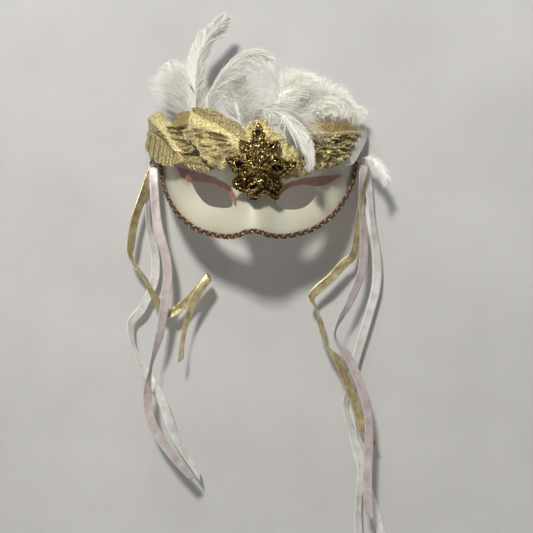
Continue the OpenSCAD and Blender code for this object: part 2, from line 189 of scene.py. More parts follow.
class Build:
    """Points in mm, faces and per-point values that end up as one mesh."""

    def __init__(self):
        self.points, self.faces, self.values, self.count = [], [], {}, 0

    def add(self, points, faces, **values):
        points = np.asarray(points, float).reshape(-1, 3)
        self.points.append(points)
        self.faces += [[i + self.count for i in f] for f in faces]
        for key, value in values.items():
            if np.ndim(value) == 0:
                value = np.full(len(points), value)
            self.values.setdefault(key, []).append((self.count, np.asarray(value, float).ravel()))
        self.count += len(points)

    def piece(self, name, body, slot, shader, nodes=(), merge=0, flat=False):
        mesh = bpy.data.meshes.new(name)
        mesh.from_pydata((np.concatenate(self.points) * MM).tolist(), [], self.faces)
        for key, parts in self.values.items():
            full = np.zeros(self.count, np.float32)
            for start, part in parts:
                full[start : start + len(part)] = part
            mesh.attributes.new(key, "FLOAT", "POINT").data.foreach_set("value", full)
        bm = bmesh.new()
        bm.from_mesh(mesh)
        if merge:
            bmesh.ops.remove_doubles(bm, verts=bm.verts, dist=merge * MM)
        bmesh.ops.delete(bm, geom=[v for v in bm.verts if not v.link_faces], context="VERTS")
        bmesh.ops.recalc_face_normals(bm, faces=bm.faces)
        bm.to_mesh(mesh)
        bm.free()
        mesh.polygons.foreach_set("use_smooth", [not flat] * len(mesh.polygons))
        mesh.update()
        mesh.materials.append(shader)
        piece = bpy.data.objects.new(name, mesh)
        bpy.context.scene.collection.objects.link(piece)
        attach(piece, body)
        if nodes:
            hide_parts(*nodes)
        return piece


def slab(build, front, back, **values):
    """A closed plate between two stacks of rings (rows x cols points), the innermost ring first."""
    rows, cols = front.shape[:2]
    hub = rows * cols
    faces = grid_faces(rows, cols, closed=True) + [[hub, (c + 1) % cols, c] for c in range(cols)]
    faces += [[i + hub + 1 for i in f[::-1]] for f in faces]
    rim, other = hub - cols, 2 * hub - cols + 1
    faces += [[rim + c, rim + (c + 1) % cols, other + (c + 1) % cols, other + c] for c in range(cols)]
    points = [front.reshape(-1, 3), front[:1].mean(1), back.reshape(-1, 3), back[:1].mean(1)]
    joined = {
        key: np.concatenate([np.append(v.ravel(), v[0].mean()) for v in sides])
        for key, sides in values.items()
    }
    build.add(np.concatenate(points), faces, **joined)


def tube(centre, radius, sides, flat=1.0):
    """Points and faces of a closed tube along centre; flat is its height over its width."""
    centre = np.asarray(centre, float)
    n = len(centre)
    t = directions(centre)
    w = unit(np.cross(t, np.array([0.0, -1.0, 0.0])))
    m = np.cross(w, t)
    radius = np.broadcast_to(np.asarray(radius, float), (n,))[:, None, None]
    a = np.arange(sides) * 2 * math.pi / sides
    ring = np.cos(a)[None, :, None] * w[:, None] + np.sin(a)[None, :, None] * m[:, None] * flat
    points = (centre[:, None] + ring * radius).reshape(-1, 3)
    faces = grid_faces(n, sides, closed=True)
    faces.append(list(range(sides))[::-1])
    faces.append(list(range((n - 1) * sides, n * sides)))
    return points, faces


# ---------------------------------------------------------------- materials


class Shader:
    """A node material on one Principled shader; constants go straight onto its sockets."""

    def __init__(self, name, **sockets):
        self.material = bpy.data.materials.new(name)
        self.material.use_nodes = True
        self.tree = self.material.node_tree
        self.main = self.tree.nodes["Principled BSDF"]
        for key, value in sockets.items():
            self.main.inputs[key.replace("_", " ").title().replace("Ior", "IOR")].default_value = value
        self.normal = None

    def node(self, kind, **settings):
        made = self.tree.nodes.new(kind)
        for key, value in settings.items():
            setattr(made, key, value)
        return made

    def put(self, socket, source):
        if hasattr(source, "links"):
            self.tree.links.new(source, socket)
        else:
            socket.default_value = source

    def texture(self, kind, size_mm, **inputs):
        """A texture in object coordinates, with features of size_mm."""
        made = self.node(kind)
        self.put(made.inputs["Vector"], self.node("ShaderNodeTexCoord").outputs["Object"])
        made.inputs["Scale"].default_value = 1 / (size_mm * MM)
        for key, value in inputs.items():
            made.inputs[key].default_value = value
        return made

    def noise(self, size_mm, detail=3, rough=0.55):
        return self.texture("ShaderNodeTexNoise", size_mm, Detail=detail, Roughness=rough).outputs["Fac"]

    def cells(self, size_mm):
        return self.texture("ShaderNodeTexVoronoi", size_mm).outputs["Distance"]

    def value(self, name):
        return self.node("ShaderNodeAttribute", attribute_name=name).outputs["Fac"]

    def maths(self, operation, a, b=0.0):
        made = self.node("ShaderNodeMath", operation=operation)
        self.put(made.inputs[0], a)
        self.put(made.inputs[1], b)
        return made.outputs[0]

    def ramp(self, source, *stops):
        made = self.node("ShaderNodeValToRGB")
        self.put(made.inputs["Fac"], source)
        band = made.color_ramp
        while len(band.elements) < len(stops):
            band.elements.new(0.5)
        for element, (at, colour) in zip(band.elements, stops):
            element.position = at
            element.color = (*colour, 1) if hasattr(colour, "__len__") else (colour, colour, colour, 1)
        return made.outputs["Color"]

    def mix(self, factor, a, b):
        made = self.node("ShaderNodeMix", data_type="RGBA")
        self.put(made.inputs["Factor"], factor)
        sockets = [s for s in made.inputs if s.type == "RGBA"]
        self.put(sockets[0], a if hasattr(a, "links") else (*a, 1))
        self.put(sockets[1], b if hasattr(b, "links") else (*b, 1))
        return [s for s in made.outputs if s.type == "RGBA"][0]

    def bump(self, height, strength, depth_mm):
        made = self.node("ShaderNodeBump")
        self.put(made.inputs["Height"], height)
        made.inputs["Strength"].default_value = strength
        made.inputs["Distance"].default_value = depth_mm * MM
        if self.normal:
            self.put(made.inputs["Normal"], self.normal)
        self.normal = made.outputs["Normal"]
        self.put(self.main.inputs["Normal"], self.normal)

    def colour(self, source):
        self.put(self.main.inputs["Base Color"], source)

    def rough(self, source):
        self.put(self.main.inputs["Roughness"], source)


CREAM = (0.62, 0.605, 0.485)
CREAM_AGED = (0.53, 0.51, 0.385)
# The blush's deep end is darkened beyond the paint's own colour, as painted shade for the leaves' shadow over
# the eyelids.
BLUSH_SHADED = (0.22, 0.105, 0.082)
BLUSH_SOFT = (0.37, 0.225, 0.18)
TAN = (0.36, 0.25, 0.13)
GOLD_PALE = (0.90, 0.79, 0.42)
GOLD_MID = (0.55, 0.44, 0.18)
GOLD_DARK = (0.15, 0.105, 0.035)


def shell_shader():
    s = Shader("cream_paint", roughness=0.42, coat_weight=0.12, coat_roughness=0.3, specular_ior_level=0.45)
    patches = s.noise(38, 4)
    cream = s.mix(s.ramp(patches, (0.35, 0.0), (0.75, 1.0)), CREAM, CREAM_AGED)
    mottle = s.ramp(s.noise(3.2, 5, 0.7), (0.3, BLUSH_SHADED), (0.8, BLUSH_SOFT))
    blush = s.value("blush")
    ragged = s.maths("MULTIPLY", s.maths("SUBTRACT", s.noise(1.4, 4), 0.5), 0.35)
    edge = s.maths("ADD", blush, ragged)
    blushed = s.mix(s.ramp(edge, (0.25, 0.0), (0.75, 1.0)), cream, mottle)
    board = s.mix(s.ramp(s.noise(2.2, 6, 0.75), (0.3, 0.0), (0.7, 1.0)), TAN, (0.47, 0.35, 0.20))
    s.colour(s.mix(s.value("inside"), blushed, board))
    grain = s.ramp(s.noise(0.5, 3), (0.3, 0.40), (0.75, 0.54))
    s.rough(s.mix(s.value("inside"), grain, (0.85, 0.85, 0.85)))
    s.bump(s.noise(7, 3), 0.25, 0.35)
    s.bump(s.noise(0.45, 4, 0.7), 0.16, 0.06)
    fibres = s.maths("MULTIPLY", s.noise(1.1, 6, 0.8), s.value("inside"))
    s.bump(fibres, 0.9, 0.6)
    return s.material


def foil_shader():
    """Embossed gold cloth: crushed facets that glint, with painted shade darkening the folds and painted
    highlight on lips and ridges.
    """
    s = Shader("gold_foil", metallic=0.6, roughness=0.42, specular_ior_level=0.6)
    crush = s.noise(1.0, 4, 0.8)
    tone = s.ramp(crush, (0.36, GOLD_DARK), (0.47, GOLD_MID), (0.60, GOLD_PALE))
    olive = s.ramp(crush, (0.38, (0.07, 0.05, 0.02)), (0.62, (0.36, 0.29, 0.14)))
    bright = s.ramp(crush, (0.38, (0.24, 0.18, 0.06)), (0.48, (0.66, 0.56, 0.24)), (0.60, (1.0, 0.92, 0.52)))
    amber = s.ramp(crush, (0.36, (0.17, 0.115, 0.035)), (0.60, (0.56, 0.42, 0.18)))
    # Painted highlight where the leaf is pale (lips, ridges, fold crests); painted shade, olive, in folds and
    # hollows; darker amber, as painted shade, on rolled-back strips.
    lit = s.mix(s.value("pale"), tone, bright)
    fold_shaded = s.mix(s.value("crease"), lit, olive)
    s.colour(s.mix(s.value("amber"), fold_shaded, amber))
    s.rough(s.ramp(s.noise(0.7, 3), (0.35, 0.30), (0.7, 0.55)))
    s.bump(s.cells(1.5), 0.9, 0.8)
    s.bump(s.noise(0.7, 4, 0.8), 0.9, 0.45)
    return s.material


def cream_leaf_shader():
    s = Shader("cream_cloth", roughness=0.5, sheen_weight=0.25, sheen_roughness=0.4)
    s.colour(s.ramp(s.noise(5, 4), (0.3, (0.50, 0.495, 0.41)), (0.7, (0.62, 0.61, 0.54))))
    s.bump(s.noise(0.35, 3), 0.3, 0.08)
    s.bump(s.noise(4, 3), 0.3, 0.4)
    return s.material


def glitter_shader():
    s = Shader("gold_glitter", metallic=0.85, roughness=0.26)
    s.colour(
        s.ramp(
            s.value("tint"), (0.0, (0.012, 0.008, 0.003)), (0.35, (0.12, 0.072, 0.018)),
            (0.62, (0.50, 0.35, 0.10)), (0.85, (0.92, 0.73, 0.30)), (1.0, (1.0, 0.92, 0.60)),
        )
    )
    s.rough(s.ramp(s.noise(0.8, 2), (0.35, 0.16), (0.7, 0.34)))
    s.bump(s.noise(0.3, 2), 0.3, 0.05)
    return s.material


def feather_shader(name, dark, light):
    s = Shader(name, roughness=0.6, sheen_weight=0.5, sheen_roughness=0.45, specular_ior_level=0.3)
    # The per-point tint runs from the dark colour to the light: random scatter between barbs, and painted
    # shade where a layer's tone is set low.
    tone = s.ramp(s.value("tint"), (0.0, dark), (0.75, light))
    s.colour(s.mix(s.maths("MULTIPLY", s.noise(9, 3), 0.15), tone, (0.80, 0.76, 0.62)))
    s.bump(s.noise(0.25, 2), 0.2, 0.05)
    return s.material


def quill_shader():
    s = Shader("quill_horn", roughness=0.35, specular_ior_level=0.5)
    s.colour(s.ramp(s.noise(3, 3), (0.3, (0.74, 0.70, 0.56)), (0.7, (0.88, 0.87, 0.78))))
    s.bump(s.noise(0.4, 2), 0.15, 0.05)
    return s.material


def ribbon_shader(name, dark, light, metal, rough, crush=0.0):
    """Satin: weft lines across the ribbon, firm selvedges, a lengthwise drift of tone."""
    s = Shader(
        name, metallic=metal, roughness=rough, sheen_weight=0.15, sheen_roughness=0.35, specular_ior_level=0.6)
    drift = s.ramp(s.noise(7, 3), (0.3, dark), (0.7, light))
    edge = s.ramp(s.value("across"), (0.80, 0.0), (0.93, 1.0))
    lighter = tuple(min(1.0, c * 1.12) for c in light)
    s.colour(s.mix(s.maths("MULTIPLY", edge, 0.6), drift, lighter))
    weft = s.maths("SINE", s.maths("MULTIPLY", s.value("along"), 2 * math.pi / 0.42))
    s.bump(weft, 0.2, 0.04)
    s.bump(s.noise(4.5, 3), 0.35, 0.8)
    if crush:
        s.bump(s.noise(1.2, 4, 0.7), crush, 0.35)
    s.rough(s.ramp(s.noise(1.6, 3), (0.3, rough * 0.8), (0.75, rough * 1.3)))
    return s.material


def thread_shader(name, dark, light, metal, rough):
    s = Shader(name, metallic=metal, roughness=rough, specular_ior_level=0.6)
    twist = s.maths("SINE", s.maths("MULTIPLY", s.value("along"), 2 * math.pi / 0.8))
    # The colour follows the twist: its grooves are painted darker, as painted shade, with random noise over
    # it.
    tone = s.maths("ADD", s.maths("MULTIPLY", twist, 0.3), s.noise(1.2, 3))
    s.colour(s.ramp(tone, (0.25, dark), (0.75, light)))
    s.rough(s.ramp(s.noise(0.6, 2), (0.3, rough * 0.8), (0.7, rough * 1.3)))
    s.bump(twist, 0.7, 0.15)
    return s.material


def felt_shader():
    s = Shader("glue_felt", roughness=0.8, sheen_weight=0.4, sheen_roughness=0.6)
    wet = s.ramp(s.noise(9, 4), (0.42, 0.0), (0.6, 1.0))
    felt = s.ramp(s.noise(0.7, 5, 0.8), (0.3, (0.30, 0.21, 0.12)), (0.7, (0.50, 0.38, 0.24)))
    s.colour(s.mix(wet, felt, (0.40, 0.29, 0.13)))
    s.rough(s.mix(wet, (0.9, 0.9, 0.9), (0.35, 0.35, 0.35)))
    s.bump(s.noise(0.6, 5, 0.8), 0.8, 0.4)
    return s.material


def plain_shader(name, low, high, size_mm):
    s = Shader(name, roughness=0.85, specular_ior_level=0.2)
    s.colour(s.ramp(s.noise(size_mm, 4), (0.3, low), (0.7, high)))
    s.bump(s.noise(3, 4), 0.15, 0.3)
    return s


def wall_shader():
    """A plain pale wall with one face: it lets everything through from behind."""
    s = plain_shader("pale_wall", (0.50, 0.495, 0.49), (0.56, 0.555, 0.55), 90)
    clear = s.node("ShaderNodeBsdfTransparent")
    choose = s.node("ShaderNodeMixShader")
    s.put(choose.inputs[0], s.node("ShaderNodeNewGeometry").outputs["Backfacing"])
    s.put(choose.inputs[1], s.main.outputs[0])
    s.put(choose.inputs[2], clear.outputs[0])
    s.put(s.tree.nodes["Material Output"].inputs["Surface"], choose.outputs[0])
    return s.material


# ---------------------------------------------------------------- surface of the shell

SHELL_T = 2.0
FACE_PLANE_Y = 45.0
WRAP_HALF_W, WRAP_DEPTH, WRAP_TRIM, WRAP_POWER = 82.0, 79.0, 26.0, 2.3
CURVE_Z, CURVE_R = -42.0, 300.0
NOSE_TOP_Z, NOSE_LEN, NOSE_RISE = -38.0, 42.0, 15.0
# Takes the sharp edge off the nose, which only the CAD model keeps
RIDGE_SOFTER, RIDGE_HALF_W = 0.8, 5
SOCKET_DEPTH, BROW_RISE = 7.0, 3.0


def hill(x, z, at, size):
    return np.exp(-(((np.abs(x) - at[0]) / size[0]) ** 2) - ((z - at[1]) / size[1]) ** 2)


def depth(x, z):
    far = np.maximum(0, 1 - (np.abs(x) / WRAP_HALF_W) ** WRAP_POWER)
    wrap = WRAP_DEPTH * far ** (1 / WRAP_POWER) - WRAP_TRIM
    upright = (z - CURVE_Z) ** 2 / CURVE_R * (1 - (x / WRAP_HALF_W) ** 2)
    t = np.clip((NOSE_TOP_Z - z) / NOSE_LEN, 0, 1)
    nose = NOSE_RISE * t * np.exp(-((x / (11 + 3 * t)) ** 2))
    nose = nose - RIDGE_SOFTER * t * np.exp(-((x / RIDGE_HALF_W) ** 2))
    socket = SOCKET_DEPTH * hill(x, z, (34, -50), (20, 12))
    brow = BROW_RISE * hill(x, z, (30, -30), (25, 9))
    return wrap - upright + nose - socket + brow


def front(x, z):
    x, z = np.broadcast_arrays(np.asarray(x, float), np.asarray(z, float))
    return np.stack([x, FACE_PLANE_Y - depth(x, z), z], -1)


def outward(x, z):
    x, z = np.asarray(x, float), np.asarray(z, float)
    return unit(np.cross(front(x + 0.5, z) - front(x - 0.5, z), front(x, z + 0.5) - front(x, z - 0.5)))


def skin(x, z, lift):
    """Points that stand lift millimetres out from the shell's front."""
    return front(x, z) + np.asarray(lift, float)[..., None] * outward(x, z)


EDGE_HALF = [
    (0, -80.3), (10, -82.3), (20, -82.8), (30, -81.4), (41, -78.2), (50, -73), (58.5, -65.5),
    (65, -56.5), (70.5, -46), (74.5, -34), (76.5, -22), (76.5, -9), (73.5, 0), (65, 4),
    (52, 4.5), (36, 3), (18, 1), (0, 0),
]
EYE_CENTRE = np.array([32.0, -51.0])
EYE_RIGHT = [
    (17, -58), (17.5, -52), (21.5, -48.8), (27, -45.4), (34, -43.6), (41, -43.8), (47, -46.2),
    (46.5, -49.5), (43, -54.5), (38, -59), (31, -61.4), (22, -61.2),
]
EYE_LEFT = [
    (16.5, -58), (18.5, -52.5), (23, -46.8), (30, -43), (37, -41.6), (43, -40.6), (48.5, -39.8),
    (47, -44.5), (43, -50.8), (37.5, -56.2), (30.5, -59.2), (20, -60.4),
]
# Blush over each eye hole: rows of x, z and half width
BLUSH_LEFT = [
    (-60, -28.5, 0.6), (-54, -33.5, 3.4), (-49, -36.5, 4.2), (-43, -37.6, 4.0), (-36.5, -38.8, 3.4),
    (-30, -40.6, 2.6), (-24, -43.6, 2.6), (-19, -48, 2.6), (-15.5, -53, 2.0), (-13.5, -59, 0.6),
]
BLUSH_RIGHT = [
    (17, -53, 1.0), (19.7, -48.2, 2.2), (25.5, -45, 2.8), (35, -42, 3.2), (44, -40.8, 3.4),
    (51.5, -39.6, 3.2), (58, -37.3, 1.8), (64, -34.8, 0.4),
]


def eye_reach(ring, rays):
    """How far each ray from the eye's centre runs to the closed outline ring."""
    start = ring - EYE_CENTRE
    edge = np.roll(ring, -1, 0) - ring
    det = edge[None, :, 0] * rays[:, 1:2] - edge[None, :, 1] * rays[:, 0:1]
    det = np.where(np.abs(det) < 1e-9, 1e-9, det)
    t = (edge[:, 0] * start[:, 1] - edge[:, 1] * start[:, 0])[None] / det
    w = (rays[:, 0:1] * start[None, :, 1] - rays[:, 1:2] * start[None, :, 0]) / det
    return np.where((w > -1e-6) & (w < 1 + 1e-6), t, 0).max(1)


def shell_half(build, eye, side, blush):
    """One half of the shell: loops that run from the eye hole over the front and back inside."""
    edge = spline(EDGE_HALF, 8)
    on_edge = len(edge)
    rows = 40
    down = np.linspace(0, 1, rows + 1)[1:-1, None] * np.array([EDGE_HALF[0]])
    edge = np.concatenate([edge, down])
    n = len(edge)
    rays = unit(edge - EYE_CENTRE)
    rim = EYE_CENTRE + rays * eye_reach(spline(eye, 8, closed=True), rays)[:, None]
    radius = SHELL_T / 2
    inward = -rays
    inward[0] = (0, 1)
    inward[on_edge - 1] = (0, -1)
    inward[on_edge:] = 0
    arc = np.linspace(math.pi / 2, 0, 5)
    rings = 30
    loops, lifts = [], []
    for a in arc[:-1]:
        loops.append(rim + rays * radius * (1 - math.sin(a)))
        lifts.append(radius * (math.cos(a) - 1))
    inner, outer = rim + rays * radius, edge + inward * radius
    for r in range(rings + 1):
        s = 1 - (1 - r / rings) ** 1.35
        loops.append(inner * (1 - s) + outer * s)
        lifts.append(0.0)
    for a in arc[::-1][1:-1]:
        loops.append(edge + inward * radius * (1 - math.sin(a)))
        lifts.append(radius * (math.cos(a) - 1))
    loops.append(edge)
    lifts.append(-radius)
    back_loops, back_lifts = loops[::-1][1:], [-SHELL_T - v for v in lifts[::-1][1:]]
    loops, lifts = loops + back_loops, lifts + back_lifts
    flat = np.array(loops)
    lift = np.array(lifts)[:, None] * np.ones((1, n))
    # the rim runs between these two rows, but not along the centre line, where the halves join
    front_end = len(arc) - 1 + rings
    back_start = front_end + 2 * len(arc) - 2
    x, z = side * flat[..., 0], flat[..., 1]
    points = skin(x, z, lift)
    inside = np.repeat((np.arange(len(loops)) > back_start - 2)[:, None], n, 1).astype(float)
    pink = 1 - smoothstep(-0.9, 1.3, polyline_distance(x, z, blush))
    haze = 0.45 * (1 - smoothstep(0, 9, polyline_distance(x, z, blush)))
    pink = np.maximum(pink, haze * smoothstep(40, 52, np.abs(x)))
    faces = [
        f for k, f in enumerate(grid_faces(len(loops), n, closed=True, flip=side > 0))
        if k % n < on_edge - 1 or not front_end <= k // n < back_start
    ]
    build.add(points, faces, blush=pink.ravel(), inside=inside.ravel())


def make_shell(shader):
    build = Build()
    shell_half(build, EYE_RIGHT, 1, BLUSH_RIGHT)
    shell_half(build, EYE_LEFT, -1, BLUSH_LEFT)
    build.piece("shell", MASK, "cream_shell", shader, ["mask_shell"], merge=0.02)


# ---------------------------------------------------------------- gimp braid round the edge

BRAID_D, BRAID_INSET, BRAID_GAP, BRAID_ENDS = 4.2, 1.6, 0.3, 10


def braid_line():
    half = []
    for i in range(BRAID_ENDS + 1):
        p = np.array(EDGE_HALF[i], float)
        half.append((0, p[1] + BRAID_INSET) if i == 0 else tuple(p + unit(EYE_CENTRE - p) * BRAID_INSET))
    return [(-x, z) for x, z in half[:0:-1]] + half


BRAID_STEP = 0.3
# The plait: its length, swing and rise, and its strands' radius
PLAIT, PLAIT_SWING, PLAIT_RISE, STRAND_R = 9.6, 1.25, 0.55, 0.72
# The wavy thread along each side: its wave's length and swing, its place and its radius
WAVE, WAVE_SWING, WAVE_OUT, THREAD_R = 2.4, 0.28, 1.55, 0.3
CORE_R, CORE_SINK = 1.05, 0.9


def add_thread(build, path, radius, sides, along, flat=1.0):
    points, faces = tube(path, radius, sides, flat)
    build.add(points, faces, along=np.repeat(along, sides))


def make_braid(gold, wine):
    flat = spline(braid_line(), 24)
    raised = skin(flat[:, 0], flat[:, 1], np.full(len(flat), BRAID_D / 2 + BRAID_GAP))
    line = even(np.concatenate([flat, raised], 1), BRAID_STEP)
    centre = line[:, 2:]
    n = outward(line[:, 0], line[:, 1])
    b = unit(np.cross(directions(centre), n))
    s = np.arange(len(centre)) * BRAID_STEP
    strands, core = Build(), Build()
    for k in range(3):
        a = 2 * math.pi * (s / PLAIT + k / 3)
        path = centre + b * (PLAIT_SWING * np.sin(a))[:, None] + n * (PLAIT_RISE * np.sin(2 * a))[:, None]
        add_thread(strands if k == 0 else core, path, STRAND_R, 7, s)
    for side in (-1, 1):
        swing = WAVE_SWING * np.sin(2 * math.pi * s / WAVE + side)
        rise = -0.35 + 0.2 * np.cos(2 * math.pi * s / WAVE)
        path = centre + b * (side * (WAVE_OUT + swing))[:, None] + n * rise[:, None]
        add_thread(strands, path, THREAD_R, 5, s)
    add_thread(core, centre - n * CORE_SINK, CORE_R, 8, s, flat=0.6)
    strands.piece("braid_gold_strands", MASK, "gimp_braid", gold, ["edge_braid"])
    core.piece("braid_wine_strands", MASK, "gimp_braid", wine)


# ---------------------------------------------------------------- leaves

DROOP, DROOP_TOP, DROOP_LEN = 0.16, 10, 36
FLARE_FROM, FLARE_TO = 64, 81
LOW_LIFT, HIGH_LIFT = 1.4, 3.6
LEAF_GAP, LEAF_THICK = 0.55, 0.4


def stand_off(x, z, flare=0.0):
    """What a leaf gains over its lift off the shell: more lower down, and more towards the temples."""
    far = np.maximum(0, (np.abs(x) - FLARE_FROM) / (FLARE_TO - FLARE_FROM))
    return DROOP * np.clip(DROOP_TOP - z, 0, DROOP_LEN) + flare * far**2


def along_path(x, z, path):
    """Place along a path from 0 to 1, and the signed distance from it, left of its run being positive."""
    best = np.full(np.shape(x), 1e9)
    place, signed = np.zeros(np.shape(x)), np.zeros(np.shape(x))
    spans = len(path) - 1
    for k, (a, b) in enumerate(zip(path[:-1], path[1:])):
        ex, ez = b[0] - a[0], b[1] - a[1]
        t = np.clip(((x - a[0]) * ex + (z - a[1]) * ez) / (ex * ex + ez * ez), 0, 1)
        dx, dz = x - a[0] - t * ex, z - a[1] - t * ez
        d = np.hypot(dx, dz)
        near = d < best
        best = np.where(near, d, best)
        place = np.where(near, (k + t) / spans, place)
        signed = np.where(near, d * np.sign(ex * dz - ez * dx), signed)
    return place, signed


def veins(x, z, path, spacing, angle):
    """A leaf's ridges and grooves: a midrib along path, and side veins that leave it at angle degrees."""
    place, d = along_path(x, z, path)
    length = sum(math.dist(a, b) for a, b in zip(path[:-1], path[1:]))
    away = np.abs(d)
    phase = (place * length - away / math.tan(math.radians(angle)) - 0.05 * away**1.5) / spacing
    phase = phase + 0.25 * (d > 0)
    near = np.abs(phase - np.round(phase)) * spacing * math.sin(math.radians(angle))
    on_leaf = smoothstep(0.0, 0.08, place)
    vein = np.exp(-((near / 0.6) ** 2)) * on_leaf * smoothstep(0.4, 1.6, away)
    groove = np.exp(-(((near - 1.2) / 0.5) ** 2)) * on_leaf * smoothstep(0.8, 2.0, away)
    midrib = np.exp(-((d / 0.7) ** 2)) * smoothstep(0, 0.05, place)
    beside = np.exp(-(((away - 1.4) / 0.55) ** 2)) * smoothstep(0, 0.05, place)
    return vein, np.maximum(groove, beside), midrib


def roll(x, z, path, height, width):
    """A raised roll along a path."""
    return height * np.exp(-((along_path(x, z, path)[1] / width) ** 2))


def creases(x, z, rows):
    """Almond-shaped dents: rows of two ends, width and depth."""
    dent = np.zeros(np.shape(x))
    for ax, az, bx, bz, width, deep in rows:
        place, d = along_path(x, z, [(ax, az), (bx, bz)])
        open_here = np.sin(math.pi * np.clip(place, 0.02, 0.98))
        dent = np.maximum(dent, deep * open_here * np.exp(-((d / (width * (0.3 + open_here))) ** 2)))
    return dent


def crinkle(x, z, slope, period, wild, shift=0.0):
    """Irregular folds that run mostly along x, from -1 to 1: slope is their fall to the right."""
    warp = wild * lumps(x, z, 10, 3, shift)
    wave = np.sin((z + slope * x + warp) * 2 * math.pi / period)
    torn = lumps(0.4 * x + 3 * slope, z + slope * x, period * 0.55, 3, shift + 7)
    return np.clip(0.55 * wave + 1.7 * torn, -1, 1)


def lumps(x, z, size, octaves=2, shift=0.0):
    flat = np.stack([x.ravel() + shift, z.ravel() - shift, np.full(x.size, shift)], -1)
    return noise_at(flat, size, octaves).reshape(x.shape)


def leaf(name, outline, lift, shape, shader, node, slot="gold_leaf", flare=0.0, teeth=0.5, tooth=3.2,
         rings=46, rough=1.0):
    """A thin embossed leaf; shape(x, z, r) gives its extra height and three colour values: painted shade in
    folds and hollows, a darker amber painted as shade, and pale, a painted highlight.
    """
    fine = closed_ring(outline, 10, LEAF_GAP)
    step = np.arange(len(fine)) * LEAF_GAP
    centre = np.mean(outline, 0)
    saw = np.abs((step / tooth) % 1 - 0.35) + 0.5 * np.sin(step * 0.9)
    fine = fine - unit(fine - centre) * (teeth * (0.2 + saw * 1.4))[:, None]
    x, z, r = shrinking(fine, centre, 0.02, rings)
    extra, crease, amber, pale = shape(x, z, r * np.ones_like(x))
    crumple = rough * (0.6 * lumps(x, z, 6.0, 3, lift) + 0.22 * lumps(x, z, 1.7, 2, lift))
    height = lift + stand_off(x, z, flare) + np.maximum(extra + crumple, 0.5 - lift)
    build = Build()
    slab(build, skin(x, z, height + LEAF_THICK), skin(x, z, height),
         crease=(crease, crease), amber=(amber, amber), pale=(pale, pale))
    build.piece(name, MASK, slot, shader, [node])


def far_left(x, z, r):
    vein, groove, midrib = veins(x, z, [(-76, 3), (-65, -9), (-55, -19), (-47, -26)], 4.4, 52)
    d = along_path(x, z, [(-79, 15), (-74, 7.5), (-67, -1.5), (-60.5, -10), (-55, -18)])[1]
    lip = smoothstep(-0.8, 1.0, d)
    height = (0.4 * groove - 0.55 * vein - 0.5 * midrib) * (1 - lip) + 1.8 * np.exp(-((d / 1.5) ** 2))
    height = height - 0.55 * np.maximum(d, 0) + 0.5 * smoothstep(0.8, 1, r) * (1 - lip)
    # Painted shade in the sunk veins and midrib, and a painted highlight on the rolled lip.
    return height, (0.75 * np.maximum(vein, midrib) + 0.25) * (1 - lip), 0 * x, lip


def curled_left(x, z, r):
    brink = [(-66, 3.5), (-62, 2.5), (-56, 1.2), (-50, 2), (-45, 4)]
    d = along_path(x, z, brink)[1]
    above = smoothstep(0.3, 1.6, d)
    folds = crinkle(x, z, 0.2, 5.2, 4, 2.0)
    height = roll(x, z, brink, 2.6, 1.0) - 2.6 * above + (1 - above) * (1.2 * folds + 0.8)
    # Painted shade in the fold troughs; the strip behind the brink is painted a darker amber, as shade; fold
    # crests get a faint painted highlight.
    crease = (1 - above) * (0.3 + 0.7 * smoothstep(0.3, -0.7, folds))
    return height, crease, above, 0.3 * (1 - above) * smoothstep(0.3, 1.0, folds)


def brow_left(x, z, r):
    ridge = [(-49, 13), (-39, 6), (-29, 1), (-20, -5), (-13, -10), (-5, -17)]
    d = along_path(x, z, ridge)[1]
    above = smoothstep(0.2, 1.6, d)
    face = (1 - above) * (1 - smoothstep(5, 9, -d))
    low = (1 - above) * smoothstep(5, 9, -d)
    folds = crinkle(x, z, -0.35, 6.0, 4, 11.0)
    dent = creases(x, z, [
        (-35, -6, -16, -12.5, 1.2, 2.4), (-32, -11, -15, -16, 0.9, 1.8), (-42, -8, -33, -12, 0.9, 1.5),
        (-28, -18, -12, -19.5, 0.9, 1.8), (-38, -17, -27, -22, 0.8, 1.4), (-24, -24, -11, -25.5, 0.8, 1.4),
        (-45, -3, -37, -5, 0.8, 1.2), (-30, -27, -19, -28.5, 0.8, 1.2),
    ])
    height = -2.2 * above + 0.22 * np.maximum(d, 0) * above + 0.28 * np.minimum(-d, 9) * (1 - above)
    height = height + 0.6 * folds * low - dent
    # Painted shade on the folded-over strip above the ridge, in fold troughs and in the dents; painted
    # highlight on the face under the ridge and on fold crests.
    torn = low * (0.2 + 0.6 * smoothstep(0.1, -0.8, folds))
    crease = np.maximum(0.62 * above, np.maximum(torn, 1.1 * dent))
    return height, np.clip(crease, 0, 1), 0 * x, 0.9 * face + 0.5 * low * smoothstep(0.4, 1.0, folds)


def lower_left(x, z, r):
    vein, groove, midrib = veins(x, z, [(-51, -27), (-28, -31)], 3.4, 45)
    # Painted shade in the sunk veins and midrib.
    return 0.3 * groove - 0.4 * vein - 0.4 * midrib, 0.25 + 0.6 * np.maximum(vein, midrib), 0 * x, 0 * x


def centre(x, z, r):
    rumple = lumps(x, z, 4.5, 3, 9.0)
    height = 1.6 * rumple + 0.8 * smoothstep(0.75, 1, r)
    low = smoothstep(-24, -31, z)
    # Painted shade in the dips and over the lower part, which also gets a little darker amber as shade; the
    # upper part is painted a paler gold.
    crease = np.maximum(0.6 * smoothstep(-0.05, -0.6, rumple), 0.6 * low)
    return height, crease, 0.25 * low, (1 - low) * (0.8 + 0 * x)


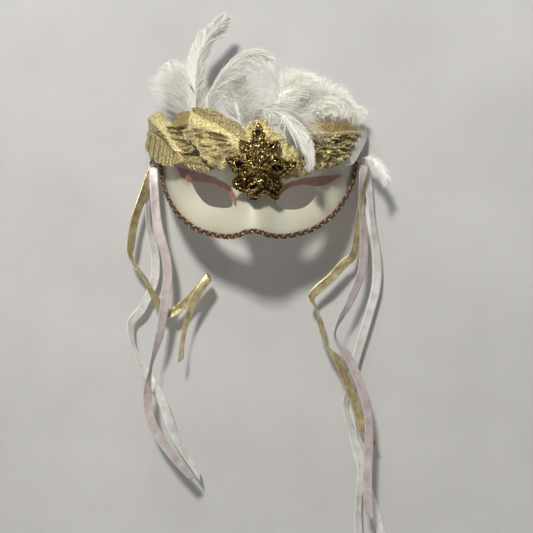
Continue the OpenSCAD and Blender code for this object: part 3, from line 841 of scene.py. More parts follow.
def right(x, z, r):
    ridge = [(30, -8), (36, -8.5), (44, -6), (53, -6.5), (61, -4), (72, -1)]
    d = along_path(x, z, ridge)[1]
    above = smoothstep(0.3, 1.8, d)
    folds = crinkle(x, z, -0.18, 4.6, 7, 23.0)
    body = (1 - above) * smoothstep(0.5, 3.0, -d)
    dent = creases(x, z, [
        (38, -14, 50, -13, 1.2, 1.4), (52, -13, 66, -9, 1.1, 1.2), (40, -20, 54, -19, 1.3, 1.6),
        (56, -19, 66, -16, 1.1, 1.3), (37, -26, 50, -26, 1.2, 1.5), (51, -26, 60, -23, 1.0, 1.2),
    ])
    height = roll(x, z, ridge, 1.9, 1.5) - 2.2 * above + body * (1.5 * folds - dent + 0.5)
    # Painted shade in fold troughs and dents, taken off the crests; the strip above the ridge is painted a
    # darker amber, as shade; painted highlight along the ridge and on fold crests.
    crease = body * np.clip(0.35 + 0.65 * smoothstep(0.25, -0.6, folds) + 0.5 * dent, 0, 1)
    crease = crease * (1 - 0.9 * smoothstep(0.35, 0.9, folds))
    brink = np.exp(-((d / 1.8) ** 2))
    return height, crease, above, np.maximum(0.8 * brink, 0.8 * body * smoothstep(0.45, 0.95, folds))


def cream_right(x, z, r):
    return 1.2 * (1 - r) + 0.3 * smoothstep(0.85, 1, r), 0 * x, 0 * x, 0 * x


def make_leaves(gold, cream):
    leaf("leaf_far_left_foil", [
        (-77.5, -10), (-78.5, -1), (-78.5, 9), (-78, 16), (-76, 19.5), (-73, 17.5), (-69, 11),
        (-61, 3), (-55, -7), (-51, -15), (-46.5, -24), (-48, -27.5), (-53, -29), (-60, -29),
        (-68, -25), (-74, -18)], HIGH_LIFT, far_left, gold, "leaf_far_left", flare=8)
    leaf("leaf_curled_left_foil", [
        (-66, 3), (-63, 9), (-60, 13), (-54, 14.5), (-47, 12), (-42, -1), (-40, -16), (-43, -21),
        (-50, -21), (-58, -15)], LOW_LIFT, curled_left, gold, "leaf_curled_left", teeth=0.2)
    leaf("leaf_brow_left_foil", [
        (-47, 16), (-41, 15), (-33, 13), (-27, 11), (-22, 7), (-13, 1), (-8, -3), (-5, -10),
        (-7, -21), (-11, -28), (-18, -32), (-26, -31), (-34, -27), (-39, -19), (-45, -10), (-47, -1),
        (-48, 9)], HIGH_LIFT, brow_left, gold, "leaf_brow_left")
    leaf("leaf_lower_left_foil", [
        (-52, -25), (-45, -23.5), (-37, -25.5), (-30, -28.5), (-26, -31), (-31, -32.5), (-38, -32),
        (-46, -30)], LOW_LIFT, lower_left, gold, "leaf_lower_left", teeth=0.4, tooth=2.6, rings=24)
    leaf("leaf_centre_foil", [
        (-12, -7), (-8, -3), (-2, 3), (2, 4), (9, 3), (13, -4), (19, -8), (24, -14), (32, -23),
        (37, -30), (39, -33), (35, -35), (28, -36), (18, -38), (6, -38), (-6, -28), (-11, -17)],
        LOW_LIFT, centre, gold, "leaf_centre", teeth=0.8, tooth=2.8)
    leaf("leaf_right_foil", [
        (34, -32), (31, -27), (32, -13), (34, 0), (41, 3), (50, 4), (59, 5), (67, 7.5), (72, 8),
        (74, 1), (71, -8), (64, -21), (58, -28), (50, -31), (41, -32)],
        HIGH_LIFT, right, gold, "leaf_right", flare=2)
    leaf("leaf_cream_right_cloth", [
        (71, -2), (74, 2), (77, 4), (78.5, 2), (78, -3), (75.5, -10), (69, -24), (65, -28),
        (60, -28.5), (62, -21), (67, -12)],
        LOW_LIFT, cream_right, cream, "leaf_cream_right", slot="cream_leaf", flare=6, teeth=0.0, rings=24,
        rough=0.3)


# ---------------------------------------------------------------- glitter leaf

GLITTER_OUTLINE = [
    (-1, -13), (1, -6), (4, -1), (7, -7), (9, -14), (12, -18), (17, -15), (19, -22), (17, -27),
    (21, -29), (29, -29.5), (24, -33), (19, -35), (19, -41), (15, -53), (12, -58), (8, -56), (5, -54),
    (1, -59), (-1, -58), (-3, -54), (-6, -52), (-10, -47), (-12, -40), (-7, -38), (-14, -32),
    (-19, -28), (-13, -27.5), (-9, -27), (-10, -21), (-9, -14), (-4, -16),
]
GLITTER_LIFT, GLITTER_TUCK = 7.2, 5
TUCK_TOP, TUCK_LEN = -38, 20
GLITTER_HUB = np.array([5.0, -33.0])
GLITTER_STEP, NOTCH_EVERY, NOTCH_DEPTH, CORD_R = 0.5, 2.7, 0.07, 0.62
FLAKE_GAP, FLAKE_SCATTER, LOOSE_FLAKES, FLAKE_HALF_T = 0.075, 0.42, 2600, 0.06
# The lobes: tip, then the open loop in each: its centre, half length along the lobe and half width
GLITTER_LOBES = [
    ((4, -2), (3.6, -11), 4.6, 2.2), ((17, -16), (12.6, -21.5), 3.4, 1.9), ((26, -30), (16.5, -32), 4.4, 1.8),
    ((13, -57), (11.6, -48), 3.6, 2.6), ((0, -58), (0.6, -50), 3.0, 1.8), ((-11, -46), (-6, -45), 2.6, 1.8),
    ((-17, -29), (-9.5, -31), 3.6, 1.9), ((-9, -16), (-4, -21.5), 3.2, 1.8),
]


def glitter_lift(x, z):
    return GLITTER_LIFT + stand_off(x, z) - GLITTER_TUCK * np.clip((TUCK_TOP - z) / TUCK_LEN, 0, 1)


def rounder(away):
    """How much further out each point of the outline goes to take in a round lobe about each loop."""
    reach = np.linalg.norm(away, axis=1)
    ray = away / reach[:, None]
    best = np.zeros(len(away))
    for tip, loop, half_long, half_wide in GLITTER_LOBES:
        u = unit(np.array(tip, float) - GLITTER_HUB)
        v = np.array([-u[1], u[0]])
        d = np.array(loop, float) - GLITTER_HUB
        a, b = half_long + 2.4, half_wide + 2.4
        ru, rv, du, dv = ray @ u / a, ray @ v / b, d @ u / a, d @ v / b
        along, low = ru * du + rv * dv, ru**2 + rv**2
        inside = along**2 - low * (du**2 + dv**2 - 1)
        best = np.maximum(best, np.where(inside > 0, (along + np.sqrt(np.maximum(inside, 0))) / low, 0))
    return np.clip(best / reach, 1.0, 1.6)


def glitter_lines(ring):
    """Lines that the glitter is stuck along: the outline, each lobe's loop, its vein and side veins. And the
    loops, which are open: centre, ways along and across, half length and half width."""
    hub = GLITTER_HUB
    lines = [ring[np.arange(len(ring) + 1) % len(ring)] * 0.94 + hub * 0.06]
    holes = []
    for tip, loop, half_long, half_wide in GLITTER_LOBES:
        tip, loop = np.array(tip, float), np.array(loop, float)
        u = unit(tip - hub)
        v = np.array([-u[1], u[0]])
        a = np.linspace(0, 2 * math.pi, 25)[:, None]
        lines.append(loop + u * np.cos(a) * half_long + v * np.sin(a) * half_wide)
        holes.append((loop, u, v, half_long, half_wide))
        t = np.linspace(0, 1, 14)[:, None]
        lines.append(hub + (loop - u * half_long - hub) * t)
        lines.append(loop + u * half_long + (tip - loop - u * half_long) * t)
        reach_out = np.linalg.norm(tip - hub)
        for side in (-1, 1):
            for at in (0.2, 0.36, 0.52):
                root = hub + u * reach_out * at
                lines.append(root + (u * 0.9 + v * 0.6 * side) * (0.16 * reach_out) * t)
    return lines, holes


def in_hole(p, holes):
    """Whether each point lies in one of the open loops."""
    result = np.zeros(len(p), bool)
    for loop, u, v, half_long, half_wide in holes:
        d = p - loop
        result |= (d @ u / half_long) ** 2 + (d @ v / half_wide) ** 2 < 0.62
    return result


def on_cords(p, extra):
    """Points that stand extra millimetres over the height of the glitter leaf's cords."""
    hug = 0.9 * (1 - np.clip(np.linalg.norm(p - GLITTER_HUB, axis=1) / 30, 0, 1))
    return skin(p[:, 0], p[:, 1], glitter_lift(p[:, 0], p[:, 1]) + hug + 1.1 + extra)


def make_backing(ring, holes, shader):
    x, z, r = shrinking(ring, GLITTER_HUB, 0.02, 40)
    sunk = in_hole(np.stack([x.ravel(), z.ravel()], -1), holes).reshape(x.shape)
    height = glitter_lift(x, z) + 0.9 * (1 - r) + 0.5 * lumps(x, z, 4, 2) + 0.4 - 0.7 * sunk
    build = Build()
    # The open loops are filled with a near-black sheet, sunk a little: painted shade.
    slab(build, skin(x, z, height + 0.6), skin(x, z, height),
         tint=(np.where(sunk, 0.0, 0.08), np.full(x.shape, 0.2)))
    build.piece("glitter_leaf_backing", MASK, "glitter", shader, ["glitter_leaf"])


def make_cords(lines, rng, shader):
    build = Build()
    for line in lines:
        path = even(line, GLITTER_STEP)
        points, faces = tube(on_cords(path, 0.15 * np.sin(np.arange(len(path)))), CORD_R, 6)
        build.add(points, faces, tint=np.repeat(rng.uniform(0.2, 0.42, len(path)), 6))
    build.piece("glitter_leaf_cords", MASK, "glitter", shader)


def make_flakes(ring, lines, holes, rng, shader):
    """Small tilted diamonds, thick on the cords and thin between them, none in the loops."""
    near = np.concatenate([even(line, FLAKE_GAP) for line in lines])
    near = near + rng.normal(0, FLAKE_SCATTER, near.shape)
    near = near[~in_hole(near, holes)]
    k = rng.integers(0, len(ring), LOOSE_FLAKES)
    far = np.sqrt(rng.uniform(0, 0.9, LOOSE_FLAKES))[:, None]
    between = GLITTER_HUB + (ring[k] - GLITTER_HUB) * far
    between = between[~in_hole(between, holes)]
    place = np.concatenate([near, between])
    on_cord = np.arange(len(place)) < len(near)
    n = len(place)
    centre = on_cords(place, np.where(on_cord, rng.uniform(0.25, 0.75, n), rng.uniform(-0.45, 0.0, n)))
    normal = unit(outward(place[:, 0], place[:, 1]) + rng.normal(0, 0.6, (n, 3)))
    a = unit(np.cross(normal, rng.normal(0, 1, (n, 3))))
    b = np.cross(normal, a)
    size = rng.uniform(0.2, 0.44, n)[:, None]
    top = centre + normal * FLAKE_HALF_T
    low = centre - normal * FLAKE_HALF_T
    ends = [top + a * size, top + b * size * 0.8, top - a * size, top - b * size * 0.8, low]
    tint = np.where(on_cord, rng.beta(1.6, 1.8, n), rng.beta(1.0, 2.6, n))
    base = np.arange(n)[:, None] * 5
    quads = (base + np.array([0, 1, 2, 3])).tolist()
    sides = [(base + np.array(tri)).tolist() for tri in ((1, 0, 4), (2, 1, 4), (3, 2, 4), (0, 3, 4))]
    build = Build()
    build.add(np.stack(ends, 1).reshape(-1, 3), quads + sum(sides, []), tint=np.repeat(tint, 5))
    build.piece("glitter_leaf_flakes", MASK, "glitter", shader, flat=True)


def make_glitter_leaf(shader):
    rng = np.random.default_rng(11)
    hub = GLITTER_HUB
    ring = closed_ring(GLITTER_OUTLINE, 10, GLITTER_STEP)
    notch = NOTCH_DEPTH * np.abs((np.arange(len(ring)) * GLITTER_STEP / NOTCH_EVERY) % 1 - 0.4)
    ring = hub + (ring - hub) * rounder(ring - hub)[:, None]
    ring = hub + (ring - hub) * (1 - notch)[:, None]
    lines, holes = glitter_lines(ring)
    make_backing(ring, holes, shader)
    make_cords(lines, rng, shader)
    make_flakes(ring, lines, holes, rng, shader)


# ---------------------------------------------------------------- plumes


def inside_outline(x, z, outline):
    """Whether each x, z lies inside the closed outline."""
    result = np.zeros(x.shape, bool)
    points = [tuple(p) for p in outline]
    for (ax, az), (bx, bz) in zip(points, points[1:] + points[:1]):
        if az == bz:
            continue
        crosses = (az > z) != (bz > z)
        result ^= crosses & (x < ax + (z - az) * (bx - ax) / (bz - az))
    return result


PATH_STEPS = 24


def barb_paths(quill, rng, count, length, start, end, side=1, first=0.05, last=0.985, spread=0.12, lean=0.0,
               wave=0.5, drift=6, outline=None, fuzz=0.07, body=0.0):
    """Paths on one side of a quill (1 is right of its run as seen from the front, -1 left) that leave it
    at a start angle and bend to an end angle (degrees, mean and scatter), cut off where they would cross
    the outline. spread and lean turn them out of the vane's plane. Returns points, the share of each to
    keep, and facings."""
    q = spline(np.array(quill)[:, :3], 16)
    t = directions(q)
    right = unit(np.cross(np.array([0.0, 1.0, 0.0]), t))
    up = np.cross(t, right)
    at = first + (last - first) * (np.arange(count) + rng.uniform(0, 1, count)) / count
    p, tt = sample(q, at), unit(sample(t, at))
    ss, uu = unit(sample(right, at)) * side, unit(sample(up, at))
    wander = drift * np.sin(at * rng.uniform(40, 70) + rng.uniform(0, 6)) + 0.5 * drift * np.sin(at * 160)
    a0 = np.radians(start[0] + wander + rng.normal(0, start[1], count))[:, None]
    a1 = np.radians(end[0] + wander + rng.normal(0, end[1], count))[:, None]
    tilt = lean + rng.normal(0, spread, count)
    k = np.linspace(0, 1, PATH_STEPS + 1)[None, :]
    much = rng.normal(0, 1, (count, 1))
    pace, phase = rng.uniform(3, 8, (count, 1)), rng.uniform(0, 6, (count, 1))
    sway = much * np.sin(k * pace + phase)
    angle = a0 + (a1 - a0) * k**1.2 + np.radians(8) * wave * sway
    outside = ss * np.cos(tilt)[:, None] + uu * np.sin(tilt)[:, None]
    ahead = np.cos(angle)[..., None] * tt[:, None] + np.sin(angle)[..., None] * outside[:, None]
    ahead = ahead + uu[:, None] * (body * rng.normal(0, 1, (count, 1)) * np.sin(k * 5))[..., None]
    full = np.maximum(rng.normal(length[0], length[1], (count, 1)), 1.0)
    step = unit(ahead) * (full / PATH_STEPS)[..., None]
    path = p[:, None] + np.concatenate([np.zeros((count, 1, 3)), np.cumsum(step[:, :-1], 1)], 1)
    path[..., 1] = soft_limit(path[..., 1])
    cut = np.ones(count)
    if outline is not None:
        gone = ~inside_outline(path[..., 0], path[..., 2], outline)
        gone[:, :2] = False
        cut = np.where(gone.any(1), gone.argmax(1), PATH_STEPS) / PATH_STEPS
        cut = np.clip(cut * (1 + rng.normal(0, fuzz, count)), 0, 1)
    return path, cut, uu


def soft_limit(y, near=-27.0, far=40.0, give=4.0):
    """Depths eased so that nothing reaches past the wall or far in front of the mask."""
    y = np.where(y > far, far + give * (1 - np.exp(-(np.maximum(y - far, 0)) / give)), y)
    return np.where(y < near, near - give * (1 - np.exp(-(np.maximum(near - y, 0)) / give)), y)


def resample(path, cut, segments):
    """The first part, up to cut, of each path as a given number of segments."""
    fine = path.shape[1] - 1
    where = cut[:, None] * np.linspace(0, 1, segments + 1)[None] * fine
    i = np.minimum(where.astype(int), fine - 1)
    f = (where - i)[..., None]
    rows = np.arange(len(path))[:, None]
    return path[rows, i] * (1 - f) + path[rows, i + 1] * f


def barbs(build, quill, rng, width=0.36, segments=6, tone=0.62, contrast=0.14, taper=0.85, **layer):
    """Barbs as thin closed blades along the paths of a layer."""
    path, cut, uu = barb_paths(quill, rng, **layer)
    keep = cut > 0.12
    path, uu = resample(path[keep], cut[keep], segments), uu[keep]
    count = len(path)
    k = np.linspace(0, 1, segments + 1)
    run = unit(np.gradient(path, axis=1))
    facing = unit(uu[:, None] + rng.normal(0, 0.3, (count, 1, 3)))
    across = unit(np.cross(run, facing))
    over = np.cross(across, run)
    wide = (width * rng.uniform(0.65, 1.25, (count, 1)) * (1 - taper * k[None] ** 1.8) / 2)[..., None]
    points = np.stack([path - across * wide, path + across * wide, path - over * wide * 0.35], 2)
    per = 3 * (segments + 1)
    j = np.arange(segments)[:, None, None] * 3
    ring = np.array([[0, 1, 4, 3], [1, 2, 5, 4], [2, 0, 3, 5]])[None]
    quads = (j + ring).reshape(-1, 4)
    base = np.arange(count)[:, None, None] * per
    faces = (base + quads[None]).reshape(-1, 4).tolist()
    ends = np.array([[0, 2, 1], [per - 3, per - 2, per - 1]])
    faces += (base + ends[None]).reshape(-1, 3).tolist()
    # Painted shade: each layer's tone, scattered at random from barb to barb, painted lighter towards the
    # tips.
    shade = np.clip(rng.normal(tone, contrast, (count, 1)) + 0.12 * k[None] ** 2, 0, 1)
    build.add(points.reshape(-1, 3), faces, tint=np.repeat(shade.ravel(), 3))


def vane(build, quill, rng, count=300, segments=10, tone=0.7, contrast=0.12, ripple=0.22, inset=0.93,
         back=0.4, **layer):
    """The vane of hooked barbs as one thin closed sheet, a barb to a row, with a ripple from row to row."""
    path, cut, uu = barb_paths(quill, rng, count, spread=0.0, wave=0.0, drift=2, fuzz=0.015, **layer)
    path = resample(path, cut * inset, segments)
    clump = ripple * (np.sin(np.arange(count) * 0.9) + rng.normal(0, 0.6, count))
    k = np.linspace(0, 1, segments + 1)
    run = unit(np.gradient(path, axis=1))
    over = unit(np.gradient(path, axis=0))
    normal = unit(np.cross(run, over))
    normal = normal * np.where((normal * uu[:, None]).sum(-1, keepdims=True) < 0, -1, 1)
    front_way = np.where(normal[..., 1:2].mean() > 0, -1, 1)
    lift = (clump[:, None] * np.sin(math.pi * np.clip(k, 0.08, 1) / 1.3)[None])[..., None] - back
    top = path + normal * front_way * (lift + 0.07)
    low = path + normal * front_way * (lift - 0.07)
    # Painted shade: the layer's tone, scattered at random from row to row.
    shade = np.repeat(np.clip(tone + rng.normal(0, contrast, count), 0, 1), segments + 1)
    rows, cols = path.shape[:2]
    total = rows * cols
    faces = grid_faces(rows, cols)
    faces += [[i + total for i in f[::-1]] for f in faces]
    rim = list(range(cols)) + [r * cols + cols - 1 for r in range(1, rows)]
    rim += [(rows - 1) * cols + c for c in range(cols - 2, -1, -1)]
    rim += [r * cols for r in range(rows - 2, 0, -1)]
    faces += [[b, a, a + total, b + total] for a, b in zip(rim, rim[1:] + rim[:1])]
    build.add(np.concatenate([top, low]), faces, tint=np.tile(shade, 2))


def down(build, outline, y_mid, bulge, shrink=4.0, tone=0.6, rings=26):
    """The thick of a downy plume: a lumpy closed cushion inside the outline."""
    ring = closed_ring(outline, 6, 1.0)
    centre = np.mean(ring, 0)
    reach = np.linalg.norm(ring - centre, axis=1)[:, None]
    ring = centre + (ring - centre) * np.maximum(1 - shrink / reach, 0.3)
    x, z, r = shrinking(ring, centre, 0.03, rings)
    round_off = np.sqrt(np.maximum(1 - r**2, 0.0004))
    cloud = 1 + 0.5 * lumps(x, z, 9, 3, y_mid) + 0.2 * lumps(x, z, 2.4, 3, y_mid)
    shade = np.clip(tone + 0.5 * lumps(x, z, 5, 2, 3 + y_mid), 0, 1)
    thick = bulge * round_off * cloud
    front_back = [np.stack([x, soft_limit(y_mid + way * thick), z], -1) for way in (-1, 1)]
    slab(build, *front_back, tint=(shade, shade))


QUILLS = {
    "plume_tall": [
        (-46, 13.5, 3), (-46.7, 14, 21.4), (-47.1, 14.5, 39.8), (-46.3, 15, 48.3), (-44.3, 15.5, 59.3),
        (-38.6, 17, 70.4), (-30.5, 18.5, 80.4), (-23.6, 20, 89)],
    "plume_round": [(-51, 22, 3), (-55, 23, 20), (-61, 24, 34), (-66, 25, 45), (-69, 26, 53)],
    "plume_fan": [(-49, 18, 3), (-48.5, 18.2, 12), (-48.5, 18.5, 20), (-50, 19, 30), (-53, 20, 44)],
    "plume_arch": [
        (-36, 8.5, 0), (-36.8, 8, 10), (-37.1, 7.5, 18.3), (-35.5, 6.5, 25), (-31.8, 5.8, 31),
        (-27.3, 5, 38.5), (-24.3, 4.6, 43.6), (-18.4, 4, 50), (-11.7, 3.5, 54.8), (-6.9, 3, 56.3),
        (-0.1, 2.5, 57.6), (6.4, 2, 54.9), (12.5, 1, 50.8)],
    "plume_tuft": [(-10, 11, 1), (-13, 11, 12), (-15, 12, 24), (-14, 12, 33)],
    "marabou_inner": [(8, 17, 2), (12, 17, 12), (18, 17, 23), (26, 17, 32), (33, 17, 38)],
    "marabou_outer": [(26, 31, 2), (37, 31, 14), (49, 31, 21), (61, 31, 23), (72, 31, 20), (79, 30, 15)],
    "plume_front": [
        (-4, 4, 5), (1, -2, 12), (6.9, -6, 12.8), (15.2, -11, 11.2), (22, -16, 6.8), (29, -20, 1.2),
        (34.5, -23, -4), (39, -24.5, -10.5), (41.6, -25, -18), (42.2, -23.5, -26), (41.5, -21.5, -31)],
    "feather_side": [(83.5, 29.5, -19), (87, 25, -20.5), (92, 21, -24), (96.5, 18.5, -30), (99, 17.5, -36)],
}
TALL_OUTLINE = [
    (-46, 3), (-50, 26), (-52.5, 39), (-53.3, 53), (-51, 60.6), (-44.3, 75.8), (-37.4, 81.1), (-29.4, 88.6),
    (-25, 91.5), (-20.9, 88.4), (-20.9, 84.6), (-24, 79.3), (-28.6, 69.4), (-31.7, 61.8), (-33.2, 54.2),
    (-35.5, 45), (-40.9, 35), (-44, 22)]
ROUND_OUTLINE = [
    (-60, 8), (-80, 20), (-83, 32), (-81, 41.6), (-77, 47.5), (-74, 53), (-69.7, 56.4), (-64.6, 57),
    (-60, 54), (-57.5, 46), (-54, 35), (-46, 20), (-46, 4)]
FAN_OUTLINE = [
    (-46, 2), (-72, 6), (-83, 14), (-84, 28), (-83, 36), (-83.5, 43), (-78, 43), (-72, 45), (-65.6, 49.5),
    (-60, 53.3), (-57, 55), (-53.2, 59.4), (-48.5, 63), (-44.6, 60), (-43.8, 50.7), (-40, 43), (-38, 33.7),
    (-32, 26), (-26, 18), (-30, 4)]
ARCH_OUTLINE = [
    (-40, 2), (-41, 14), (-37.6, 25), (-33, 31.6), (-28.6, 39.3), (-25.6, 44.4), (-19.2, 51), (-12, 56),
    (-6.9, 57.4), (0, 58.9), (6.8, 56), (13.3, 51.6), (14.2, 44.7), (14.8, 35.7), (10, 28.5), (2, 25),
    (-7, 25), (-13, 18), (-19, 8), (-28, 2)]
TUFT_OUTLINE = [
    (-30, 2), (-29, 14), (-26, 23), (-21.5, 34.5), (-18, 40), (-11, 41.5), (-5, 39.5), (1, 40.5), (7, 36),
    (10.5, 30), (10.5, 21), (10, 6), (2, 1)]
MARABOU_OUTLINE = [
    (0, 2), (3, 14), (6, 21), (8.6, 30), (10.6, 36.6), (15, 40), (20.5, 44.6), (26.3, 46), (33, 44.5),
    (38.4, 45), (45, 42.5), (50, 40), (58, 36.5), (67, 33), (71.5, 26), (76, 21), (82, 18.5), (85, 14),
    (80, 6), (71.5, 3), (50, 1), (22, 2)]
MARABOU_INNER = [
    (2, 3), (5, 16), (8, 27), (12, 37), (20, 43), (30, 43), (40, 42), (44, 34), (40, 20), (32, 8), (20, 3)]
MARABOU_OUTER = [
    (24, 4), (26, 18), (32, 30), (42, 39), (54, 36), (66, 32), (71, 24), (78, 18), (83, 14), (78, 7),
    (70, 4), (50, 2)]
FRONT_OUTLINE = [
    (-4, 9), (0.5, 13.6), (6.9, 14.2), (15.4, 12.6), (22.6, 8.2), (29.8, 2.6), (35.6, -3), (40.6, -10),
    (43.6, -18), (44.4, -26), (43.8, -33), (41, -34.5), (36.5, -33), (30.5, -28.5), (25, -20.5),
    (20.5, -12), (15.5, -5), (10, 0), (4, 4), (-2, 4)]


def quill_tube(build, quill, base, tip=0.1, until=1.0):
    q = spline(np.array(quill), 10)
    q = q[: max(3, int(len(q) * until))]
    points, faces = tube(q, base + (tip - base) * np.linspace(0, 1, len(q)) ** 0.7, 7)
    build.add(points, faces, tint=0.9)


def make_plumes(white, downy, horn):
    rng = np.random.default_rng(5)

    def plume(node, slot, shader, layers, sheets=(), cores=(), body=MASK, base=0.55, until=1.0):
        vanes, stem = Build(), Build()
        for core in cores:
            down(vanes, **core)
        for sheet in sheets:
            vane(vanes, QUILLS[node], rng, **sheet)
        for layer in layers:
            barbs(vanes, layer.pop("path", QUILLS[node]), rng, **layer)
        vanes.piece(node + "_barbs", body, slot, shader, [node], flat=True)
        quill_tube(stem, QUILLS[node], base, until=until)
        stem.piece(node + "_quill", body, slot, horn)

    # Low tones paint shade: the tall plume's right vane, the arch's inner sheet and the front plume's
    # back-curling strands are painted darker where they turn from the light or lie between others.
    plume("plume_tall", "feather", white, [
        dict(count=420, side=-1, length=(20, 1.5), start=(22, 2), end=(24, 3), first=0.2, lean=-0.35,
             outline=TALL_OUTLINE, tone=0.85, fuzz=0.05, wave=0.3, width=0.5),
        dict(count=460, side=1, length=(24, 2), start=(20, 3), end=(32, 5), first=0.2, lean=0.5,
             outline=TALL_OUTLINE, tone=0.4, fuzz=0.1, wave=0.6, width=0.5),
        dict(count=150, side=1, length=(18, 4), start=(30, 10), end=(60, 14), first=0.14, last=0.5,
             spread=0.5, outline=FAN_OUTLINE, tone=0.6, wave=1.5, width=0.24),
    ], sheets=[
        dict(side=-1, length=(20, 0), start=(22, 0), end=(24, 0), first=0.2, lean=-0.35, outline=TALL_OUTLINE,
             tone=0.85),
        dict(side=1, length=(24, 0), start=(20, 0), end=(32, 0), first=0.3, last=0.8, lean=0.5,
             outline=TALL_OUTLINE, tone=0.35, inset=0.8),
    ])
    plume("plume_round", "feather", white, [
        dict(count=560, side=side, length=(19, 3), start=(24, 8), end=(58, 12), first=0.1, spread=0.35,
             outline=ROUND_OUTLINE, tone=0.8, wave=1.2, width=0.34)
        for side in (-1, 1)
    ], until=0.8)
    plume("plume_fan", "feather", white, [
        dict(count=950, side=-1, length=(38, 6), start=(24, 14), end=(62, 18), first=0.05, last=0.8,
             spread=0.18, outline=FAN_OUTLINE, tone=0.6, wave=1.2, width=0.34, drift=12),
        dict(count=380, side=1, length=(26, 5), start=(16, 10), end=(38, 14), first=0.05, last=0.8,
             spread=0.18, outline=FAN_OUTLINE, tone=0.6, wave=1.4, width=0.3, drift=12),
    ], base=0.4, until=0.8)
    plume("plume_arch", "feather", white, [
        dict(count=620, side=1, length=(33, 3), start=(14, 4), end=(40, 7), first=0.16, spread=0.1,
             lean=-0.15, outline=ARCH_OUTLINE, tone=0.6, wave=0.6, width=0.5, fuzz=0.12),
        dict(count=420, side=-1, length=(2.0, 0.4), start=(16, 4), end=(20, 6), first=0.16, tone=0.9,
             width=0.34),
        dict(count=260, side=1, length=(30, 6), start=(30, 14), end=(85, 22), first=0.2, last=0.8,
             spread=0.35, outline=ARCH_OUTLINE, tone=0.9, wave=2.0, width=0.3, fuzz=0.15),
        dict(count=260, side=1, length=(22, 6), start=(20, 14), end=(50, 22), first=0.02, last=0.25,
             spread=0.5, outline=ARCH_OUTLINE, tone=0.7, wave=1.5, width=0.3),
    ], sheets=[
        dict(side=1, length=(33, 0), start=(14, 0), end=(40, 0), first=0.16, lean=-0.15, outline=ARCH_OUTLINE,
             tone=0.5, contrast=0.18, inset=0.88),
    ])
    plume("plume_tuft", "feather", white, [
        dict(count=380, side=side, length=(21, 4), start=(16, 8), end=(50, 14), first=0.04, spread=0.35,
             outline=TUFT_OUTLINE, tone=0.95, wave=1.6, width=0.36)
        for side in (-1, 1)
    ] + [
        dict(count=420, side=1, length=(26, 6), start=(50, 16), end=(95, 26), first=0.02, last=0.75,
             spread=0.5, outline=TUFT_OUTLINE, tone=0.85, wave=2.2, width=0.32),
    ], base=0.4, until=0.7)
    plume("marabou_inner", "marabou", downy, [
        dict(count=900, side=side, length=(23, 5), start=(26, 16), end=(66, 24), first=0.02, spread=0.6,
             outline=MARABOU_OUTLINE, tone=1.0, wave=2.4, width=0.3, fuzz=0.16, body=0.3)
        for side in (-1, 1)
    ], cores=[dict(outline=MARABOU_INNER, y_mid=18, bulge=4.5, shrink=7.0, tone=1.0)], base=0.4, until=0.8)
    plume("marabou_outer", "marabou", downy, [
        dict(count=800, side=side, length=(22, 5), start=(30, 16), end=(72, 24), first=0.02, spread=0.6,
             outline=MARABOU_OUTLINE, tone=0.9, wave=2.4, width=0.3, fuzz=0.16, body=0.3)
        for side in (-1, 1)
    ] + [
        dict(path=[(22, 22, 2), (32, 22, 14), (43, 22, 23), (55, 22, 27), (66, 22, 25)], count=600, side=side,
             length=(20, 5), start=(34, 18), end=(74, 26), first=0.02, spread=0.6,
             outline=MARABOU_OUTLINE, tone=0.95, wave=2.4, width=0.3, fuzz=0.16, body=0.3)
        for side in (-1, 1)
    ], cores=[dict(outline=MARABOU_OUTER, y_mid=27, bulge=5.5, shrink=7.0, tone=1.0)], base=0.4, until=0.8)
    plume("plume_front", "feather", white, [
        dict(count=760, side=1, length=(44, 3), start=(13, 3), end=(30, 5), first=0.06, spread=0.08,
             lean=-0.1,
             outline=FRONT_OUTLINE, tone=0.62, contrast=0.25, wave=0.3, width=0.6, fuzz=0.05, drift=4),
        dict(count=300, side=-1, length=(3.5, 0.6), start=(10, 3), end=(14, 4), first=0.1, tone=0.8,
             width=0.4, outline=FRONT_OUTLINE),
        dict(count=70, side=1, length=(20, 4), start=(22, 8), end=(95, 18), first=0.12, last=0.5, spread=0.3,
             tone=0.95, wave=1.0, width=0.34),
        dict(count=80, side=-1, length=(30, 6), start=(24, 6), end=(-26, 8), first=0.2, last=0.55,
             spread=0.25, tone=0.15, wave=0.8, width=0.26),
    ], sheets=[
        dict(side=1, length=(44, 0), start=(13, 0), end=(30, 0), first=0.06, lean=-0.1, outline=FRONT_OUTLINE,
             tone=0.62, contrast=0.25, ripple=0.3, inset=0.97),
    ], base=0.4)
    plume("feather_side", "feather", white, [
        dict(count=170, side=1, length=(9, 1.5), start=(24, 5), end=(44, 8), first=0.08, tone=0.65,
             width=0.4),
        dict(count=150, side=-1, length=(5, 1), start=(24, 5), end=(34, 8), first=0.08, tone=0.85, width=0.4),
        dict(count=60, side=1, length=(9, 3), start=(40, 14), end=(80, 20), first=0.02, last=0.4, spread=0.6,
             tone=0.8, wave=1.6, width=0.26),
    ], body="tie_right", base=0.35)


def make_quill_pad(shader):
    outline = [
        (-54, -2), (-46, 1), (-20, -2), (8, -4), (24, -3), (26, -9), (8, -12), (-22, -11), (-48, -9)]
    x, z, r = shrinking(closed_ring(outline, 10, 0.8), np.mean(outline, 0), 0.03, 14)
    bead = noise_at(front(x, z).reshape(-1, 3), 4.0, 3).reshape(x.shape)
    full = 1.6 * np.sqrt(np.clip(1 - (r * np.ones_like(x)) ** 6, 0, 1)) + 0.35 * bead
    build = Build()
    against_shell = skin(x, z, np.full(x.shape, -SHELL_T - 0.2))
    slab(build, skin(x, z, -SHELL_T - 0.25 - np.maximum(full, 0.1)), against_shell)
    build.piece("quill_pad_felt", MASK, "glue_felt", shader, ["quill_pad"])


# ---------------------------------------------------------------- ribbons and knots

